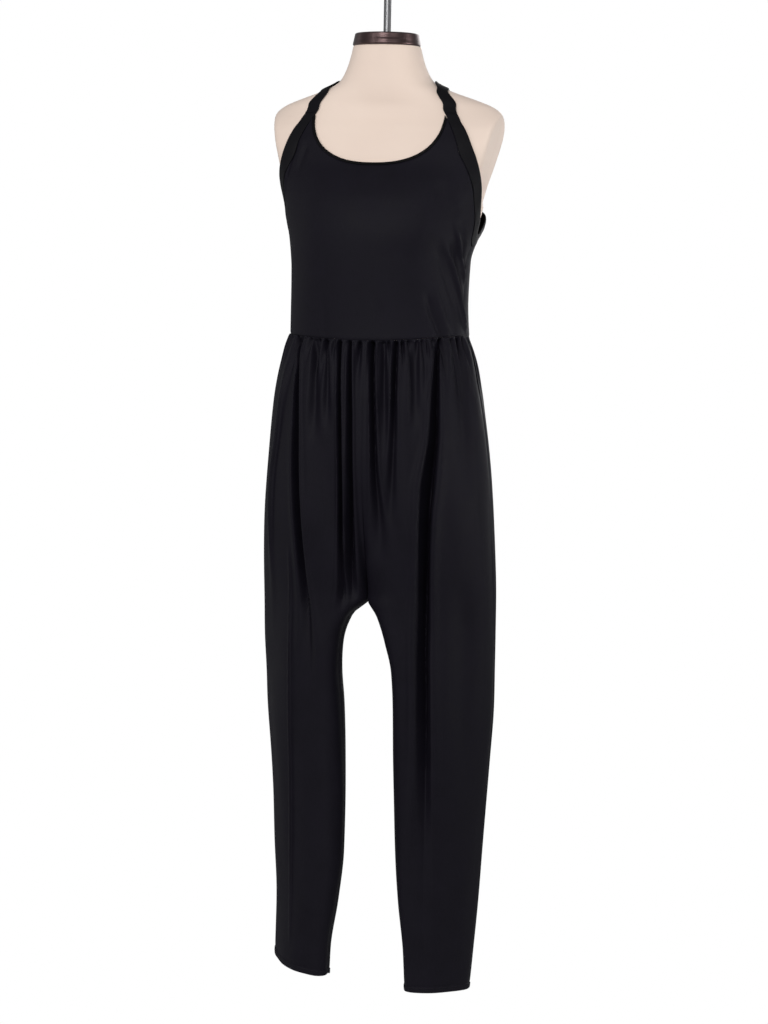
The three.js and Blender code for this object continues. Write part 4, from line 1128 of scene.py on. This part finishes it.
def clear_of_form(point, gap):
    """Points that would be nearer to the form's surface than gap are pushed straight out to it."""
    x, y, z = np.moveaxis(point, -1, 0)
    turn = (np.arctan2(x, CENTRE_Y - y) + math.pi) / (2 * math.pi) * 360
    row = np.clip((WORN_TOP - z) / RING_STEP, 0, len(FORM_RADIUS) - 1.001)
    i, j = row.astype(int), np.clip(turn, 0, 359.999).astype(int)
    s, t = row - i, np.clip(turn, 0, 359.999) - j
    upper_one, lower_one = (mix(FORM_RADIUS[k, j], FORM_RADIUS[k, j + 1], t) for k in (i, i + 1))
    need = (mix(upper_one, lower_one, s) + gap) * (z > FORM_END)
    have = np.maximum(np.hypot(x, y - CENTRE_Y), 1)
    grow = 1 + np.log1p(np.exp(np.minimum((need - have) / 0.8, 40))) * 0.8 / have
    return np.stack([x * grow, CENTRE_Y + (y - CENTRE_Y) * grow, z], -1)


def trouser_point(is_front, word, across, z, out):
    """The base, moved inwards by the gathers and outwards by the puffs between them and by the ripples. The long
    folds are cut mostly straight back from the front, as the camera sees them. A crease above the crotch sinks in."""
    across, z = np.broadcast_arrays(np.asarray(across, float), np.asarray(z, float))
    key, phase = (is_front, word), PHASE[(is_front, word)]
    here = trouser_base(is_front, word, across, z)
    before, after = np.clip(across - 0.01, 0, 1), np.clip(across + 0.01, 0, 1)
    along = trouser_base(is_front, word, after, z) - trouser_base(is_front, word, before, z)
    way = 1 if is_front == (word == "left") else -1
    normal = np.stack([along[..., 1] * way, -along[..., 0] * way, np.zeros_like(z)], -1)
    normal = normal / np.linalg.norm(normal, axis=-1, keepdims=True)
    at_edge = smooth(0, 0.05, across) * (1 - smooth(0.95, 1, across))
    below = np.maximum(WAIST_Z - z, 0)
    gathers = gather_depth(across, below, phase) + short_gather_depth(across, below, phase)
    puff = 1.6 * bell((below - 16) / 15) + ripple(across, z, phase) * at_edge * smooth(60, 200, below)
    from_seam = waist_z(across if is_front else 2 - across) - z
    start = smooth(-0.5, 5.5, from_seam)
    facing = np.stack([0 * z, 0 * z + (-1 if is_front else 1), 0 * z], -1)
    straight = mix(normal, facing, 0.75 * smooth(0.15, 0.55, np.abs(normal[..., 1]))[..., None])
    straight = straight / np.linalg.norm(straight, axis=-1, keepdims=True)
    crease = smooth(CREASE_TOP, CREASE_FLOOR, z) * smooth(CREASE_END, CREASE_FLOOR - 1, z) * is_front
    crease = CREASE_DEPTH * bell(here[..., 0] / CREASE_WIDTH) * crease
    folds = fold_depth(key, here[..., 0], z) * at_edge * start
    moved = normal * (out + puff - gathers * start)[..., None] - straight * folds[..., None]
    point = here + moved - facing * crease[..., None]
    side = 1 if word == "left" else -1
    inner = np.where(across < 0.5, 0.0, -1e3)
    point[..., 0] = side * np.maximum(side * point[..., 0], inner)
    return clear_of_form(point, 1.5 + out)


# %% [markdown]
# ## Trouser panels
# A panel runs from the waist seam to the turned-up hem, which is thicker by a pressed second layer of cloth.


# %% Four panels
def panel_z(is_front, word, across, at):
    """The height of a point that lies a distance, at, below the waist: the waist seam's sag fades out on the way
    down, and the hem's rise fades in."""
    low, rise, corner = HEM_RISE[word]
    top = waist_z(across if is_front else 2 - across) - 0.12
    share = at / (WAIST_Z - HEM_Z)
    hem = low + rise * across**2.2 + corner * (1 - across) ** 8
    return WAIST_Z - at + (top - WAIST_Z) * (1 - smooth(0, 0.25, share)) + hem * smooth(0.55, 1, share)


def trouser_panel(is_front, word, columns=206, rows=124):
    """Rows are closer together near the waist, where the gathers are, and at the hem."""
    end = WAIST_Z - HEM_Z
    at = np.concatenate([[0, 0.8, 1.8, 3, 5], np.linspace(7, 110, 32), np.linspace(110, end - 11, rows)[1:]])
    at = np.concatenate([at, end - np.array([10.2, 9.6, 9.2, 8.8, 8.2, 7, 4.5, 2.2, 1, 0.4, 0])])[:, None]
    across = np.linspace(0, 1, columns)[None, :]
    z = panel_z(is_front, word, across, at)
    from_seam = np.minimum(across, 1 - across) * 260
    turned_in = 0.75 * bell(from_seam / 1.8) + 0.75 * bell(at / 1.8) + 0.6 * bell((end - at) / 0.8)
    hem = HEM_EXTRA * smooth(end - 9.8, end - 8.4, at) - 0.4 * bell((end - at - 10) / 1.3)
    outer = trouser_point(is_front, word, across, z, 1.62 + hem - turned_in)
    inner = trouser_point(is_front, word, across, z, 0.1 + 0 * at * across)
    return outer, inner


legs = {}
for word in ("left", "right"):
    for is_front in (True, False):
        part = "front" if is_front else "back"
        legs[part, word] = shell(
            f"trouser_{part}_{word}_cloth", *trouser_panel(is_front, word), PANEL_CLOTH, "jersey", f"leg_{part}_{word}"
        )

# %% [markdown]
# ## Hem stitching
# A twin needle leaves two rows of small stitches just below the fold of the hem. Each stitch is a short thread
# with rounded ends, lying on the cloth; one small shape is repeated by adding its points to each place.


# %% Stitches
def stitch_rows(is_front, word, from_edge, pitch=3.1):
    """Places and directions of the stitches of one row, at even steps along the hem."""
    across = np.linspace(0.004, 0.996, 400)
    z = panel_z(is_front, word, across, WAIST_Z - HEM_Z - from_edge)
    line = trouser_point(is_front, word, across, z, CLOTH + HEM_EXTRA - 0.12)
    run = lengths(line, 0)
    count = int(run[-1] / pitch)
    middle = (np.arange(count) + 0.5) * run[-1] / count
    at = np.stack([np.interp(middle, run, line[:, k]) for k in range(3)], -1)
    ahead_of = np.stack([np.interp(middle + 0.5, run, line[:, k]) for k in range(3)], -1)
    along = ahead_of - at
    along = along / np.linalg.norm(along, axis=-1, keepdims=True)
    out = np.stack([along[:, 1], -along[:, 0], np.zeros(count)], -1)
    if (out * (at - line.mean(0))).sum() < 0:
        out = -out
    return at, along, out


def stitches(name, rows, length=2.3, radius=0.22, sides=6):
    """A spindle for each stitch: its radius swells as a sine along it, and it arches above the cloth."""
    share = np.array([0.04, 0.2, 0.5, 0.8, 0.96])
    angle = np.arange(sides) * 2 * math.pi / sides
    swell = radius * np.sin(math.pi * share) ** 0.4
    along = np.repeat((share - 0.5) * length, sides)
    lift = np.outer(swell, np.cos(angle)).ravel() + np.repeat(0.12 * np.sin(math.pi * share), sides)
    wide = np.outer(swell, np.sin(angle)).ravel()
    ends = [[-0.5 * length, 0, 0], [0.5 * length, 0, 0]]
    one = np.concatenate([np.stack([along, lift, wide], -1), ends])
    at, forward, out = (np.concatenate(parts) for parts in zip(*rows))
    beside_ = np.cross(forward, out)
    axes = np.stack([forward, out, beside_], 1)
    points = (at[:, None, :] + np.einsum("pk,nkc->npc", one, axes)).reshape(-1, 3)
    ids = np.arange(5 * sides).reshape(5, sides)
    quads = grid_faces(np.concatenate([ids, ids[:, :1]], axis=1))
    tips = np.concatenate(
        [
            np.stack([ids[0], np.full(sides, 5 * sides), np.roll(ids[0], -1)], -1),
            np.stack([np.roll(ids[-1], -1), np.full(sides, 5 * sides + 1), ids[-1]], -1),
        ]
    )
    start = (np.arange(len(at)) * len(one))[:, None, None]
    return piece(name, points, quads + start, tips + start, points[:, :2], THREAD, "jersey", sharp=80)


for part, word in legs:
    rows = [stitch_rows(part == "front", word, from_edge) for from_edge in (5.2, 7.8)]
    stitches(f"hem_stitches_{part}_{word}", rows)

# %% [markdown]
# ## The cloth in each piece
# The gathered trouser panels were cut half as wide again at the waist as they measure now. The bodice pieces lie
# smooth, and the bands were cut twice as wide and folded. Here each piece's area of one layer is printed, as it lies.


# %% Area of one layer
def measured(made):
    """Half of a closed shell's area, in square metres, which is the cloth's own."""
    area = np.empty(len(made.data.polygons))
    made.data.polygons.foreach_get("area", area)
    return float(area.sum() / 2)


for made in (front_bodice, back_bodice, *bands.values(), *straps.values(), *bindings.values(), *legs.values()):
    print(made.name, "one layer", round(measured(made), 4), "m2")

# %% [markdown]
# ## Floor and light
# The photograph has soft light from large panels: one high in front, a strip to the left of it, a weaker one to the
# right, and one on each side a little behind, which draw the bright edges. A narrow beam lifts the form's arm plate,
# and a panel behind lights the back. The floor is plain and pale, well below the hems, since the form hangs.

# %% Studio
scene = bpy.context.scene
scene.view_settings.view_transform = "Standard"
floor_finish = Finish("pale_floor", Roughness=0.9, Specular_IOR_Level=0.1)
floor_x, floor_y, _ = floor_finish.parts(floor_finish.place())
from_middle = (floor_x * floor_x + floor_y * floor_y) ** 0.5
fade_from, fade_to = 0.5, 1.5
fade = floor_finish.node(
    "ShaderNodeMapRange", {"interpolation_type": "SMOOTHSTEP"}, {0: from_middle, 1: fade_from, 2: fade_to, 3: 1, 4: 0}
)
FLOOR = floor_finish.feed(
    Base_Color=floor_finish.colours(floor_finish.noise(floor_finish.place(), 2), (0.9, 0.9, 0.9), (0.93, 0.93, 0.93)),
    Alpha=fade,
)
FLOOR_Z = -1.95
corners = np.array([(-1, -1), (1, -1), (1, 1), (-1, 1)]) * 1.6
floor_mesh = bpy.data.meshes.new("floor")
floor_mesh.from_pydata([(x, y, FLOOR_Z) for x, y in corners], [], [(0, 1, 2, 3)])
floor_mesh.materials.append(FLOOR)
floor = bpy.data.objects.new("floor", floor_mesh)
scene.collection.objects.link(floor)

world = bpy.data.worlds.new("studio")
scene.world = world
world.use_nodes = True
nodes, links = world.node_tree.nodes, world.node_tree.links
nodes.clear()
kinds = "Background Background LightPath MixShader OutputWorld"
seen, lit, ray, either, out = (nodes.new("ShaderNode" + kind) for kind in kinds.split())
for shader, colour, strength in ((seen, (1, 1, 1, 1), 1.0), (lit, (0.96, 0.98, 1.0, 1), 0.3)):
    shader.inputs["Color"].default_value = colour
    shader.inputs["Strength"].default_value = strength
links.new(ray.outputs["Is Camera Ray"], either.inputs[0])
links.new(lit.outputs[0], either.inputs[1])
links.new(seen.outputs[0], either.inputs[2])
links.new(either.outputs[0], out.inputs[0])


def panel_light(name, place, watts, size, aim_at=(0, 0, -0.75), spread=180):
    """A soft rectangular light that faces the garment, and that a grid may narrow to a beam."""
    lamp = bpy.data.lights.new(name, "AREA")
    lamp.shape, lamp.size, lamp.size_y, lamp.energy = "RECTANGLE", size[0], size[1], watts
    lamp.spread = math.radians(spread)
    made = bpy.data.objects.new(name, lamp)
    made.location = place
    made.rotation_euler = (Vector(aim_at) - Vector(place)).to_track_quat("-Z", "Y").to_euler()
    scene.collection.objects.link(made)


panel_light("key", (0.0, -3.5, 0.6), 74, (1.2, 1.6))
panel_light("left_strip", (-1.75, -2.6, 0.0), 20, (0.4, 2.2))
panel_light("right_side", (2.7, 0.3, -0.4), 18, (0.6, 2.6))
panel_light("right_low", (1.8, 0.1, -1.0), 0.5, (0.3, 0.8), (0.13, 0, -0.45), 35)
panel_light("left_side", (-2.9, 0.5, -0.6), 7, (0.5, 2.4))
panel_light("front_fill", (2.3, -3.0, 0.7), 17, (1.6, 2.2))
panel_light("behind", (0.6, 3.6, 0.3), 40, (2.2, 2.2))
